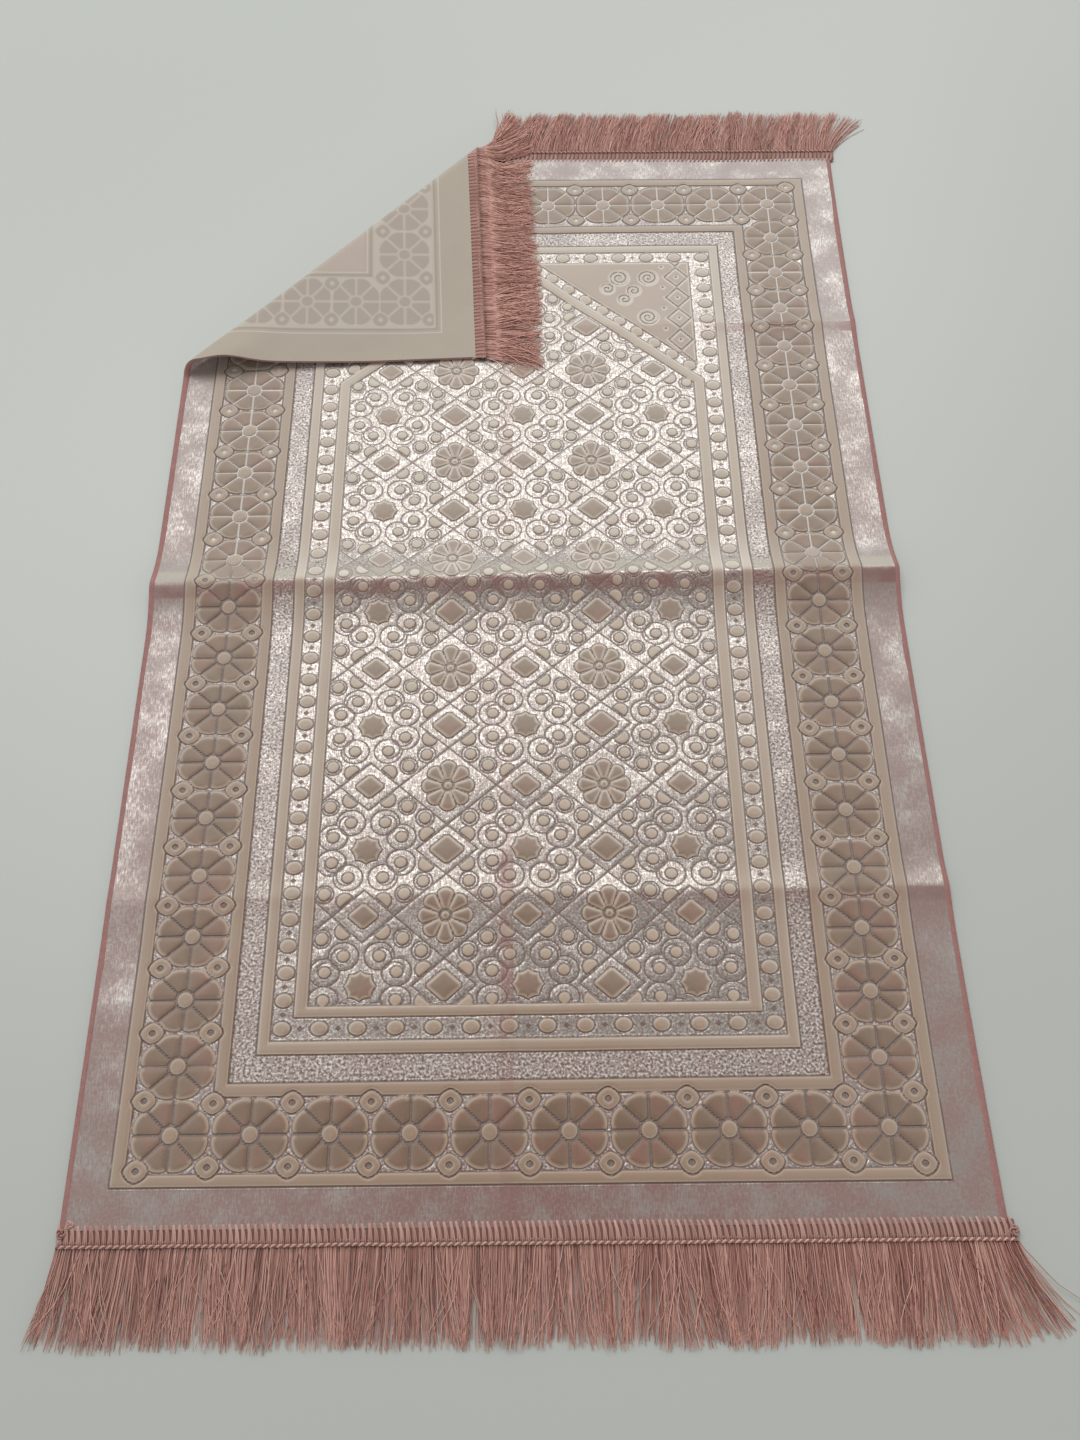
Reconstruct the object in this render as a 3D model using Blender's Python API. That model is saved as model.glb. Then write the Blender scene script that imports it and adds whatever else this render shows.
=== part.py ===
"""Prayer rug lying on a floor, one corner turned over and both ends fringed.

Metres, +Z up.  X runs across the rug and Y along it.  Every piece is first drawn flat, at
u across, v along and w up from the cloth's underside, and is then laid down by lay(), which
turns the far left corner over and lifts the creases.
"""
import math
import random
from collections import namedtuple

import bmesh
import bpy
import numpy as np

# The cloth and its side bindings.
HALF_LENGTH = 0.5555
LEFT_EDGE = -0.3485
RIGHT_EDGE = 0.3510
CLOTH_THICK = 0.0030
BINDING_WIDTH = 0.0062
BINDING_THICK = 0.0034
GAP = 0.0003

# The two ends of the weave aren't quite square, and the right side flares at its ends.
HEM_SKEW = -0.0055
HEM_SKEW_FROM = 0.44
END_FLARE = 0.0030
FLARE_POWER = 4

# The turned corner: the line it is folded on, and the section of the soft roll there, whose
# radius grows along the line.  The flap falls from the roll at FLAP_DIP and settles on the
# cloth below.  Near the roll's left end it still bulges up.
FOLD_POINT = (-0.1979, 0.4114)
FOLD_ANGLE = math.radians(45.58)
ROLL_RADIUS = 0.0088
ROLL_GROWTH = 1.0
FLAP_DIP = 0.105
SETTLE_RADIUS = 0.30
FLAP_GAP = 0.0013
BULGE_HEIGHT = 0.0090
BULGE_AT = -0.190
BULGE_LENGTH = 0.045
BULGE_PAST = 0.045
BULGE_WIDTH = 0.022

# Heading strips and the fringe locks that hang from them.
HEADING_WIDTH = 0.0130
HEADING_THICK = 0.0033
HEADING_OVERHANG = 0.0040
LOCKS = 138
LOCK_WIDTH = 0.0036
LOCK_TIP_WIDTH = 0.0015
LOCK_TIP_THICK = 0.0012
LOCK_LENGTH = 0.067
LOCK_RAGGED = 0.0030
LOCK_STATIONS = (0.30, 0.65, 1.0)
LOCK_CURVE = 1.4
TURNED_LOCK_Z = 0.0044
TURNED_LOCK_DROP = 0.040
ROLL_LOCKS_KEPT = 3
ROLL_LOCK_STEP = 0.0022

# Creases: ridges in the cloth.  at and tilt place the crest, low and high are its heights at
# the left (or near) and the right (or far) end, near and far are its two sides' widths.
Crease = namedtuple("Crease", "name lengthwise at tilt low high near far")
CREASES = (
    Crease("middle", False, -0.0015, 0.011, 0.0098, 0.0112, 0.064, 0.058),
    Crease("near", False, -0.3040, 0.004, 0.0008, 0.0030, 0.045, 0.030),
    Crease("far", False, 0.3080, 0.006, -0.0020, 0.0024, 0.038, 0.034),
    Crease("centre", True, -0.0110, 0.002, 0.0016, 0.0006, 0.030, 0.026),
)
CREST_ROUND = 0.004
CREASE_POWER = 1.6
CREASE_CUTS = {"middle": (0.06, 0.14, 0.27, 0.45, 0.70, 1.0)}
LESSER_CUTS = (0.2, 0.5, 1.0)

# Where the tips of the locks at the corners reach sideways, and how far in that is felt.
Fan = namedtuple("Fan", "end at reach decay")
FANS = (
    Fan(-1, RIGHT_EDGE + HEADING_OVERHANG, 0.034, 0.020),
    Fan(-1, LEFT_EDGE, -0.015, 0.022),
    Fan(1, RIGHT_EDGE + HEADING_OVERHANG, 0.036, 0.022),
    Fan(1, LEFT_EDGE, -0.007, 0.020),
)
# Slow waves in the direction in which the locks lie: length and sideways reach of each.
DRIFT_WAVES = ((0.093, 0.0030), (0.037, 0.0011))

ROLL_MARGIN = 0.006
FLAP_REACH = 0.16
FLAP_CUT_EACH = 3
GRID_ACROSS = 0.10
GRID_ALONG = 0.08

COLOURS = {
    "rug_cloth": (0.44, 0.36, 0.31, 0.85),
    "binding": (0.40, 0.20, 0.17, 0.80),
    "fringe": (0.46, 0.22, 0.18, 0.75),
}

FOLD_DIRECTION = (math.cos(FOLD_ANGLE), math.sin(FOLD_ANGLE))
ROLL_START = -math.pi * ROLL_RADIUS / 2
ROLL_TURN = math.pi + FLAP_DIP
SETTLE_LENGTH = SETTLE_RADIUS * FLAP_DIP
SETTLE_DROP = SETTLE_RADIUS * (1 - math.cos(FLAP_DIP))


def clear_scene():
    for thing in list(bpy.data.objects):
        bpy.data.objects.remove(thing, do_unlink=True)


def material(name, colour):
    made = bpy.data.materials.new(name)
    made.use_nodes = True
    shader = made.node_tree.nodes["Principled BSDF"]
    red, green, blue, roughness = colour
    shader.inputs["Base Color"].default_value = (red, green, blue, 1)
    shader.inputs["Roughness"].default_value = roughness
    shader.inputs["Metallic"].default_value = 0
    return made


# ---- laying the flat pieces down ----

def outline_drift(u, v):
    """The flare of the right side and the skew of the two ends."""
    end = np.clip((np.abs(v) - HEM_SKEW_FROM) / (HALF_LENGTH - HEM_SKEW_FROM), 0, 1)
    x = u + END_FLARE * np.maximum(u / RIGHT_EDGE, 0) * (v / HALF_LENGTH) ** FLARE_POWER
    y = v + HEM_SKEW * u * end
    return x, y


def fold_distance(x, y):
    """Places along the fold line, and past it towards the corner that is turned over."""
    across, along = x - FOLD_POINT[0], y - FOLD_POINT[1]
    cosine, sine = FOLD_DIRECTION
    return across * cosine + along * sine, along * cosine - across * sine


def roll_radius(along):
    return ROLL_RADIUS * np.exp(ROLL_GROWTH * along)


def roll_stretches(radius):
    """Lengths of the roll and of the straight slope after it."""
    drop = radius * (1 + math.cos(FLAP_DIP)) - SETTLE_DROP - CLOTH_THICK - FLAP_GAP
    return radius * ROLL_TURN, drop / math.sin(FLAP_DIP)


def roll_section(s, radius):
    """The fold's section: place, height and slope of the cloth's middle at length s."""
    roll_length, slope_length = roll_stretches(radius)
    before = np.minimum(s, 0)
    turn = np.clip(s, 0, roll_length) / radius
    slope = np.clip(s - roll_length, 0, slope_length)
    settle = np.clip(s - roll_length - slope_length, 0, SETTLE_LENGTH) / SETTLE_RADIUS
    flat = np.maximum(s - roll_length - slope_length - SETTLE_LENGTH, 0)
    settling = ROLL_TURN - settle
    place = (before + radius * np.sin(turn) + slope * math.cos(ROLL_TURN)
             - SETTLE_RADIUS * (np.sin(settling) - math.sin(ROLL_TURN)) - flat)
    height = (radius * (1 - np.cos(turn)) + slope * math.sin(ROLL_TURN)
              + SETTLE_RADIUS * (np.cos(settling) - math.cos(ROLL_TURN)))
    return place, height, turn - settle


def bulge_height(along, s):
    away = ((along - BULGE_AT) / BULGE_LENGTH) ** 2 + ((s - BULGE_PAST) / BULGE_WIDTH) ** 2
    return BULGE_HEIGHT * np.exp(-away) * (s > 0)


def crease_height(x, y):
    total = np.zeros_like(x)
    for crease in CREASES:
        run, side = (y, x) if crease.lengthwise else (x, y)
        reach = HALF_LENGTH if crease.lengthwise else RIGHT_EDGE
        offset = side - crease.at - crease.tilt * run
        width = np.where(offset < 0, crease.near, crease.far)
        away = (np.sqrt(offset ** 2 + CREST_ROUND ** 2) - CREST_ROUND) / width
        share = np.clip(0.5 + 0.5 * run / reach, 0, 1)
        crest = np.maximum(crease.low + (crease.high - crease.low) * share, 0)
        total += crest * np.clip(1 - away, 0, 1) ** CREASE_POWER
    return total


def lay(flat):
    """Flat places (u, v, w) to places on the floor."""
    flat = np.asarray(flat, dtype=float).reshape(-1, 3)
    x, y = outline_drift(flat[:, 0], flat[:, 1])
    rise = flat[:, 2] - CLOTH_THICK / 2
    along, past = fold_distance(x, y)
    place, height, angle = roll_section(past - ROLL_START, roll_radius(along))
    height += bulge_height(along, past - ROLL_START)
    turned = ROLL_START + place - np.sin(angle) * rise
    cosine, sine = FOLD_DIRECTION
    x = FOLD_POINT[0] + along * cosine - turned * sine
    y = FOLD_POINT[1] + along * sine + turned * cosine
    z = CLOTH_THICK / 2 + height + np.cos(angle) * rise + crease_height(x, y)
    return np.column_stack((x, y, z))


# ---- the flat pieces ----

def roll_place(u):
    """How far past the start of the roll, and past its end, the heading's outer side is at u."""
    x, y = outline_drift(np.array([u]), np.array([HALF_LENGTH + HEADING_WIDTH]))
    along, past = fold_distance(x, y)
    from_start = float(past[0]) - ROLL_START
    return from_start, from_start - float(roll_stretches(roll_radius(along))[0][0])


def in_roll(u):
    from_start, from_end = roll_place(u)
    return from_start > 0 > from_end


def lock_roots(end):
    """Left and right sides of each lock's root, with the roll's own locks thinned out."""
    width = RIGHT_EDGE + HEADING_OVERHANG - LEFT_EDGE
    pitch = width / LOCKS
    roots = []
    for index in range(LOCKS):
        middle = LEFT_EDGE + (index + 0.5) * pitch
        roots.append((middle - LOCK_WIDTH / 2, middle + LOCK_WIDTH / 2))
    if end < 0:
        return roots
    rolled = [root for root in roots if in_roll(root[0]) and in_roll(root[1])]
    step = len(rolled) // ROLL_LOCKS_KEPT
    kept = rolled[step // 2::step][:ROLL_LOCKS_KEPT]
    return [root for root in roots if root not in rolled or root in kept]


def fold_cuts(fine):
    """Where the lines on which the flat pieces divide for the fold meet the far heading.

    They run along the fold, from the sides of the locks' roots.  Fine adds lines between
    those of the roll, which pass through the roots there.
    """
    cuts = []
    for index, (left, right) in enumerate(lock_roots(-1)):
        from_start, from_end = roll_place(right)
        if from_start > -ROLL_MARGIN and from_end < ROLL_MARGIN:
            cuts += [left, right]
            if fine:
                cuts.append((left + right) / 2)
        elif 0 < from_end < FLAP_REACH and index % FLAP_CUT_EACH == 0:
            cuts.append(right)
    return cuts


def cut_flat(mesh, point, normal):
    everything = mesh.verts[:] + mesh.edges[:] + mesh.faces[:]
    bmesh.ops.bisect_plane(mesh, geom=everything, dist=1e-6, plane_co=point, plane_no=normal)


def cut_creases(mesh):
    for crease in CREASES:
        fractions = CREASE_CUTS.get(crease.name, LESSER_CUTS)
        offsets = [0.0] + [crease.far * part for part in fractions]
        offsets += [-crease.near * part for part in fractions]
        for offset in offsets:
            if crease.lengthwise:
                cut_flat(mesh, (crease.at + offset, 0, 0), (1, -crease.tilt, 0))
            else:
                cut_flat(mesh, (0, crease.at + offset, 0), (-crease.tilt, 1, 0))


def cut_fold(mesh, fine):
    cosine, sine = FOLD_DIRECTION
    for cut in fold_cuts(fine):
        cut_flat(mesh, (cut, HALF_LENGTH + HEADING_WIDTH, 0), (-sine, cosine, 0))


def cut_grid(mesh):
    across = int(RIGHT_EDGE / GRID_ACROSS) + 1
    along = int(HALF_LENGTH / GRID_ALONG) + 1
    for step in range(-across, across + 1):
        cut_flat(mesh, (step * GRID_ACROSS, 0, 0), (1, 0, 0))
    for step in range(-along, along + 1):
        cut_flat(mesh, (0, (step + 0.5) * GRID_ALONG, 0), (0, 1, 0))


def flat_slab(outline, thick, cloth=True):
    """A slab on a flat outline, divided so that it can bend at the creases and the fold."""
    mesh = bmesh.new()
    mesh.faces.new([mesh.verts.new((u, v, 0)) for u, v in outline])
    if cloth:
        cut_grid(mesh)
    cut_creases(mesh)
    cut_fold(mesh, fine=cloth)
    bmesh.ops.triangulate(mesh, faces=mesh.faces[:], quad_method="BEAUTY", ngon_method="BEAUTY")
    made = bmesh.ops.extrude_face_region(mesh, geom=mesh.faces[:], use_keep_orig=True)
    for part in made["geom"]:
        if isinstance(part, bmesh.types.BMVert):
            part.co.z = thick
    bmesh.ops.recalc_face_normals(mesh, faces=mesh.faces[:])
    return mesh


def lay_mesh(mesh):
    places = lay([vert.co[:] for vert in mesh.verts])
    for vert, place in zip(mesh.verts, places):
        vert.co = place


def rectangle(left, right, near, far):
    return [(left, near), (right, near), (right, far), (left, far)]


# ---- fringe ----

def lock_drift(end, u):
    """How far sideways the tip of the lock at u lies."""
    drift = 0.0
    for fan in FANS:
        if fan.end == end:
            drift += fan.reach * math.exp(-abs(u - fan.at) / fan.decay)
    for number, (length, reach) in enumerate(DRIFT_WAVES):
        drift += reach * math.sin(2 * math.pi * u / length + end + number)
    return drift


def unit(vector):
    return vector / np.linalg.norm(vector)


def lock_rings(end, root, order, chance):
    """Rings of a lock from its root to its tip, each as four corners like the root's."""
    u = (root[0] + root[1]) / 2
    outer = end * (HALF_LENGTH + HEADING_WIDTH)
    middle = HEADING_THICK / 2
    start, ahead, beside, above = lay([(u, outer, middle), (u, outer + end * 1e-4, middle),
                                       (u + 1e-4, outer, middle), (u, outer, middle + 1e-4)])
    root_side = unit(beside - start)
    root_up = unit(above - start)
    heading = unit((ahead - start) * (1, 1, 0))
    sideways = np.array((-heading[1], heading[0], 0.0))
    if sideways @ root_side < 0:
        sideways = -sideways
    turned = end > 0 and roll_place(u)[0] > 0
    up = np.array((0, 0, 1.0)) if root_up[2] >= 0 or not turned else np.array((0, 0, -1.0))
    drift = lock_drift(end, u)
    length = LOCK_LENGTH + chance.uniform(-LOCK_RAGGED, LOCK_RAGGED)
    forward = math.sqrt(length ** 2 - drift ** 2)
    floor = TURNED_LOCK_Z + order * ROLL_LOCK_STEP if turned else 0.0
    rings = []
    for part in LOCK_STATIONS:
        wide = LOCK_WIDTH + (LOCK_TIP_WIDTH - LOCK_WIDTH) * part
        thick = HEADING_THICK + (LOCK_TIP_THICK - HEADING_THICK) * part
        centre = start + heading * forward * part + sideways * drift * part ** LOCK_CURVE
        rest = floor + thick / 2 + float(crease_height(*centre[:2].reshape(2, 1))[0])
        fall = min(1.0, part * length / TURNED_LOCK_DROP)
        fall = fall * fall * (3 - 2 * fall) if turned else 1.0
        centre[2] = start[2] + (rest - start[2]) * fall
        side = unit(root_side * (1 - fall) + sideways * fall)
        lift = unit(root_up * (1 - fall) + up * fall)
        rings.append((centre, side * wide / 2, lift * thick / 2))
    return rings


def grow_lock(mesh, face, corners, rings):
    """Draws the root face out along the rings and closes the tip."""
    ring = list(face.verts)
    signs = [corners[vert] for vert in ring]
    mesh.faces.remove(face)
    for centre, side, lift in rings:
        drawn = [mesh.verts.new(centre + side * left + lift * top) for left, top in signs]
        for index in range(4):
            after = (index + 1) % 4
            mesh.faces.new((ring[index], ring[after], drawn[after], drawn[index]))
        ring = drawn
    mesh.faces.new(ring)


def fringe(end):
    """A heading strip with its locks."""
    inner = HALF_LENGTH + GAP
    outer = HALF_LENGTH + HEADING_WIDTH
    right = RIGHT_EDGE + HEADING_OVERHANG
    roots = lock_roots(end)
    sides = [u for root in roots for u in root]
    outline = [(LEFT_EDGE, end * inner), (LEFT_EDGE, end * outer)]
    outline += [(u, end * outer) for u in sides]
    outline += [(right, end * outer), (right, end * inner)]
    mesh = flat_slab(outline, HEADING_THICK, cloth=False)
    chosen = []
    for face in mesh.faces:
        if all(abs(vert.co.y - end * outer) < 1e-6 for vert in face.verts):
            middle = sum(vert.co.x for vert in face.verts) / 4
            for root in roots:
                if abs(middle - (root[0] + root[1]) / 2) < 1e-5:
                    corners = {vert: (1 if vert.co.x > middle else -1,
                                      1 if vert.co.z > HEADING_THICK / 2 else -1)
                               for vert in face.verts}
                    chosen.append((root, face, corners))
    lay_mesh(mesh)
    chance = random.Random(11 + end)
    order = 0
    for root, face, corners in sorted(chosen, key=lambda item: -item[0][0]):
        stacked = end > 0 and in_roll((root[0] + root[1]) / 2)
        order += stacked
        grow_lock(mesh, face, corners, lock_rings(end, root, order * stacked, chance))
    bmesh.ops.recalc_face_normals(mesh, faces=mesh.faces[:])
    return mesh


# ---- pieces ----

def add_piece(name, mesh, finish):
    data = bpy.data.meshes.new(name)
    mesh.to_mesh(data)
    mesh.free()
    data.materials.append(finish)
    data.shade_smooth()
    data.set_sharp_from_angle(angle=math.radians(40))
    piece = bpy.data.objects.new(name, data)
    bpy.context.scene.collection.objects.link(piece)
    return piece


def rug_cloth():
    inset = BINDING_WIDTH + GAP
    outline = rectangle(LEFT_EDGE + inset, RIGHT_EDGE - inset, -HALF_LENGTH, HALF_LENGTH)
    mesh = flat_slab(outline, CLOTH_THICK)
    lay_mesh(mesh)
    return mesh


def side_binding(left):
    outline = rectangle(left, left + BINDING_WIDTH, -HALF_LENGTH, HALF_LENGTH)
    mesh = flat_slab(outline, BINDING_THICK)
    lay_mesh(mesh)
    return mesh


def centre_on_origin(pieces):
    """Stands the rug with the middle of its box over the origin."""
    corners = np.array([vert.co[:] for piece in pieces for vert in piece.data.vertices])
    middle = (corners.min(axis=0) + corners.max(axis=0)) / 2
    for piece in pieces:
        for vert in piece.data.vertices:
            vert.co.x -= middle[0]
            vert.co.y -= middle[1]


def build():
    clear_scene()
    cloth = material("beige_and_rose_weave", COLOURS["rug_cloth"])
    pieces = [add_piece("rug_cloth", rug_cloth(), cloth)]
    for name, left in (("side_binding_left", LEFT_EDGE),
                       ("side_binding_right", RIGHT_EDGE - BINDING_WIDTH)):
        finish = material(name + "_yarn", COLOURS["binding"])
        pieces.append(add_piece(name, side_binding(left), finish))
    for name, end in (("fringe_near_end", -1), ("fringe_far_end", 1)):
        finish = material(name + "_yarn", COLOURS["fringe"])
        pieces.append(add_piece(name, fringe(end), finish))
    centre_on_origin(pieces)


build()
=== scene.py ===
"""Looks of the prayer rug: carved pile, plain back, overlocked sides and yarn fringes.

Metres, +Z up.  As in the solids, every piece is first drawn flat, at u across, v along and
w up from the cloth's underside, and is then laid down by lay().  The carved pattern is one
set of functions in millimetres that work on arrays, for the relief in the meshes, and on
shader sockets, for colour and fine relief in the materials.
"""
import math
from collections import namedtuple
from functools import reduce

import bpy
import numpy as np
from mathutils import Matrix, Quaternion, Vector


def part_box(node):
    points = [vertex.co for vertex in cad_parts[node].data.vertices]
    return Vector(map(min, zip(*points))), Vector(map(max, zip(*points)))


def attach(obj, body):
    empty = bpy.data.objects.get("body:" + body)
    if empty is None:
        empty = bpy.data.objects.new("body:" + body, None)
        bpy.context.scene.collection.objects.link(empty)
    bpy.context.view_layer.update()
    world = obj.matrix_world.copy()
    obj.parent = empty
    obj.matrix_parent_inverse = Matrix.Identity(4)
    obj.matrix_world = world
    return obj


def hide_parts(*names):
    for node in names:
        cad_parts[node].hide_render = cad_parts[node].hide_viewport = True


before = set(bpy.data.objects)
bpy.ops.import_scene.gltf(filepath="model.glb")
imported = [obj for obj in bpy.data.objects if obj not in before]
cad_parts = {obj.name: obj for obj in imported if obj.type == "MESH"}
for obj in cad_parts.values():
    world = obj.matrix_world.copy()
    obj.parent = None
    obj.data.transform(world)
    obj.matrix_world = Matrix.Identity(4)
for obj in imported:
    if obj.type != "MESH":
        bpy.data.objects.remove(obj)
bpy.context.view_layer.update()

# ---- sizes of the solids, the same as in the part's source ----

HALF_LENGTH = 0.5555
LEFT_EDGE = -0.3485
RIGHT_EDGE = 0.3510
CLOTH_THICK = 0.0030
HEM_SKEW = -0.0055
HEM_SKEW_FROM = 0.44
END_FLARE = 0.0030
FLARE_POWER = 4
FOLD_POINT = (-0.1979, 0.4114)
FOLD_ANGLE = math.radians(45.58)
ROLL_RADIUS = 0.0088
ROLL_GROWTH = 1.0
FLAP_DIP = 0.105
SETTLE_RADIUS = 0.30
FLAP_GAP = 0.0013
BULGE_HEIGHT = 0.0090
BULGE_AT = -0.190
BULGE_LENGTH = 0.045
BULGE_PAST = 0.045
BULGE_WIDTH = 0.022
HEADING_WIDTH = 0.0130
HEADING_OVERHANG = 0.0040
LOCK_LENGTH = 0.067
LOCK_CURVE = 1.4
CREST_ROUND = 0.004

Crease = namedtuple("Crease", "name lengthwise at tilt low high near far")
CREASES = (
    Crease("middle", False, -0.0015, 0.011, 0.0098, 0.0112, 0.064, 0.058),
    Crease("near", False, -0.3040, 0.004, 0.0008, 0.0030, 0.045, 0.030),
    Crease("far", False, 0.3080, 0.006, -0.0020, 0.0024, 0.038, 0.034),
    Crease("centre", True, -0.0110, 0.002, 0.0016, 0.0006, 0.030, 0.026),
)
Fan = namedtuple("Fan", "end at reach decay")
FANS = (
    Fan(-1, RIGHT_EDGE + HEADING_OVERHANG, 0.034, 0.020),
    Fan(-1, LEFT_EDGE, -0.015, 0.022),
    Fan(1, RIGHT_EDGE + HEADING_OVERHANG, 0.036, 0.022),
    Fan(1, LEFT_EDGE, -0.007, 0.020),
)
DRIFT_WAVES = ((0.093, 0.0030), (0.037, 0.0011))

FOLD_DIRECTION = (math.cos(FOLD_ANGLE), math.sin(FOLD_ANGLE))
ROLL_START = -math.pi * ROLL_RADIUS / 2
ROLL_TURN = math.pi + FLAP_DIP
SETTLE_LENGTH = SETTLE_RADIUS * FLAP_DIP
SETTLE_DROP = SETTLE_RADIUS * (1 - math.cos(FLAP_DIP))

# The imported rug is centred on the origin, and the right binding says how far it was moved.
BINDING_LOW, BINDING_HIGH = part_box("side_binding_right")
SHIFT_X = BINDING_HIGH[0] - (RIGHT_EDGE + END_FLARE)
SHIFT_Y = BINDING_LOW[1] + HALF_LENGTH - HEM_SKEW * RIGHT_EDGE

# ---- sizes of the looks ----

CREASE_POWER = 2.6  # a sharper crest than the solids have
BACK_LEVEL = 0.00015
GROUND_LEVEL = 0.0019
VELVET_RISE = 0.0008
PUFF_RISE = 0.0004
ENGRAVED_DROP = 0.0003
UNEVEN = 0.00035
GRID_STEP = 0.00185
BACK_STEP, BACK_FINE_STEP = 0.0060, 0.0023
BACK_FINE_TO, BACK_FINE_FROM = 0.05, 0.20  # across and along, round the turned corner
FLAP_EASE = 0.05
UNDER_EDGE = 0.0050
UNDER_HEADING = 0.0015
SKIN_INSET = 0.0009
# A small step, for the directions in which a laid piece runs.
SMALL = 1e-4


def ease(part):
    return part * part * (3 - 2 * part)


def wander(places, length, seed):
    """Smooth random waves from -1 to 1, about one in each length."""
    knots = np.random.default_rng(seed).uniform(-1, 1, 2048)
    at = np.asarray(places) / length + 700
    whole = np.floor(at).astype(int)
    part = ease(at - whole)
    return knots[whole % 2048] * (1 - part) + knots[(whole + 1) % 2048] * part


def waves_of(table, places, seed):
    """The sum of the waves in a table of sizes, lengths and seeds."""
    return sum(size * wander(places, length, seed + more) for size, length, more in table)


# ---- laying the flat pieces down ----

def outline_drift(u, v):
    """The flare of the right side and the skew of the two ends."""
    end = np.clip((np.abs(v) - HEM_SKEW_FROM) / (HALF_LENGTH - HEM_SKEW_FROM), 0, 1)
    x = u + END_FLARE * np.maximum(u / RIGHT_EDGE, 0) * (v / HALF_LENGTH) ** FLARE_POWER
    y = v + HEM_SKEW * u * end
    return x, y


def fold_distance(x, y):
    """Places along the fold line, and past it towards the corner that is turned over."""
    across, along = x - FOLD_POINT[0], y - FOLD_POINT[1]
    cosine, sine = FOLD_DIRECTION
    return across * cosine + along * sine, along * cosine - across * sine


def roll_radius(along):
    return ROLL_RADIUS * np.exp(ROLL_GROWTH * along)


def roll_stretches(radius):
    """Lengths of the roll and of the straight slope after it."""
    drop = radius * (1 + math.cos(FLAP_DIP)) - SETTLE_DROP - CLOTH_THICK - FLAP_GAP
    return radius * ROLL_TURN, drop / math.sin(FLAP_DIP)


def roll_section(s, radius):
    """The fold's section: place, height and slope of the cloth's middle at length s."""
    roll_length, slope_length = roll_stretches(radius)
    before = np.minimum(s, 0)
    turn = np.clip(s, 0, roll_length) / radius
    slope = np.clip(s - roll_length, 0, slope_length)
    settle = np.clip(s - roll_length - slope_length, 0, SETTLE_LENGTH) / SETTLE_RADIUS
    flat = np.maximum(s - roll_length - slope_length - SETTLE_LENGTH, 0)
    settling = ROLL_TURN - settle
    place = (before + radius * np.sin(turn) + slope * math.cos(ROLL_TURN)
             - SETTLE_RADIUS * (np.sin(settling) - math.sin(ROLL_TURN)) - flat)
    height = (radius * (1 - np.cos(turn)) + slope * math.sin(ROLL_TURN)
              + SETTLE_RADIUS * (np.cos(settling) - math.cos(ROLL_TURN)))
    return place, height, turn - settle


def bulge_height(along, s):
    away = ((along - BULGE_AT) / BULGE_LENGTH) ** 2 + ((s - BULGE_PAST) / BULGE_WIDTH) ** 2
    return BULGE_HEIGHT * np.exp(-away) * (s > 0)


def crease_height(x, y):
    total = np.zeros_like(x)
    for crease in CREASES:
        run, side = (y, x) if crease.lengthwise else (x, y)
        reach = HALF_LENGTH if crease.lengthwise else RIGHT_EDGE
        offset = side - crease.at - crease.tilt * run
        width = np.where(offset < 0, crease.near, crease.far)
        away = (np.sqrt(offset ** 2 + CREST_ROUND ** 2) - CREST_ROUND) / width
        share = np.clip(0.5 + 0.5 * run / reach, 0, 1)
        crest = np.maximum(crease.low + (crease.high - crease.low) * share, 0)
        total += crest * np.clip(1 - away, 0, 1) ** CREASE_POWER
    return total


def unevenness(x, y):
    """The gentle swell of cloth that has been folded and handled."""
    swell = wander(x + 0.6 * y, 0.060, 3) + wander(y - 0.4 * x, 0.045, 4)
    swell = swell + wander(x, 0.028, 5) * wander(y, 0.035, 6)
    return UNEVEN * (swell + 3)


def lay(flat):
    """Flat places (..., 3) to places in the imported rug's frame."""
    flat = np.asarray(flat, dtype=float)
    u, v, w = flat[..., 0], flat[..., 1], flat[..., 2]
    x, y = outline_drift(u, v)
    rise = w - CLOTH_THICK / 2
    along, past = fold_distance(x, y)
    place, height, angle = roll_section(past - ROLL_START, roll_radius(along))
    height = height + bulge_height(along, past - ROLL_START)
    turned = ROLL_START + place - np.sin(angle) * rise
    cosine, sine = FOLD_DIRECTION
    x = FOLD_POINT[0] + along * cosine - turned * sine
    y = FOLD_POINT[1] + along * sine + turned * cosine
    z = CLOTH_THICK / 2 + height + np.cos(angle) * rise + crease_height(x, y)
    return np.stack((x + SHIFT_X, y + SHIFT_Y, z), axis=-1)


def lay_at(u, v, w):
    return lay(np.stack(np.broadcast_arrays(u, v, w), axis=-1))


def unit(vectors):
    return vectors / np.maximum(np.linalg.norm(vectors, axis=-1, keepdims=True), 1e-12)


def past_fold(u, v):
    """How far past the start of the roll a flat place is, and past its end."""
    along, past = fold_distance(*outline_drift(u, v))
    from_start = past - ROLL_START
    return from_start, from_start - roll_stretches(roll_radius(along))[0]


def lying_flat(u, v):
    """1 where the cloth lies face up, easing to 0 at the fold and on the flap."""
    from_start, _ = past_fold(u, v)
    return 1 - np.clip((from_start + FLAP_EASE) / FLAP_EASE, 0, 1)


# ---- arithmetic on arrays and on shader sockets ----

class Wire:
    """A number inside a shader.  Arithmetic on it adds Math nodes to its tree."""

    def __init__(self, socket):
        self.socket = socket

    def __add__(self, other):
        return math_node("ADD", self, other)

    def __sub__(self, other):
        return math_node("SUBTRACT", self, other)

    def __rsub__(self, other):
        return math_node("SUBTRACT", other, self)

    def __mul__(self, other):
        return math_node("MULTIPLY", self, other)

    def __truediv__(self, other):
        return math_node("DIVIDE", self, other)

    def __neg__(self):
        return math_node("MULTIPLY", self, -1.0)

    __radd__ = __add__
    __rmul__ = __mul__


def is_wire(*values):
    return any(isinstance(value, Wire) for value in values)


def plug(value, slot):
    """Links a wire to a node's slot, or sets the slot to a plain number or colour."""
    if isinstance(value, Wire):
        slot.id_data.links.new(value.socket, slot)
    else:
        slot.default_value = value


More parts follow.
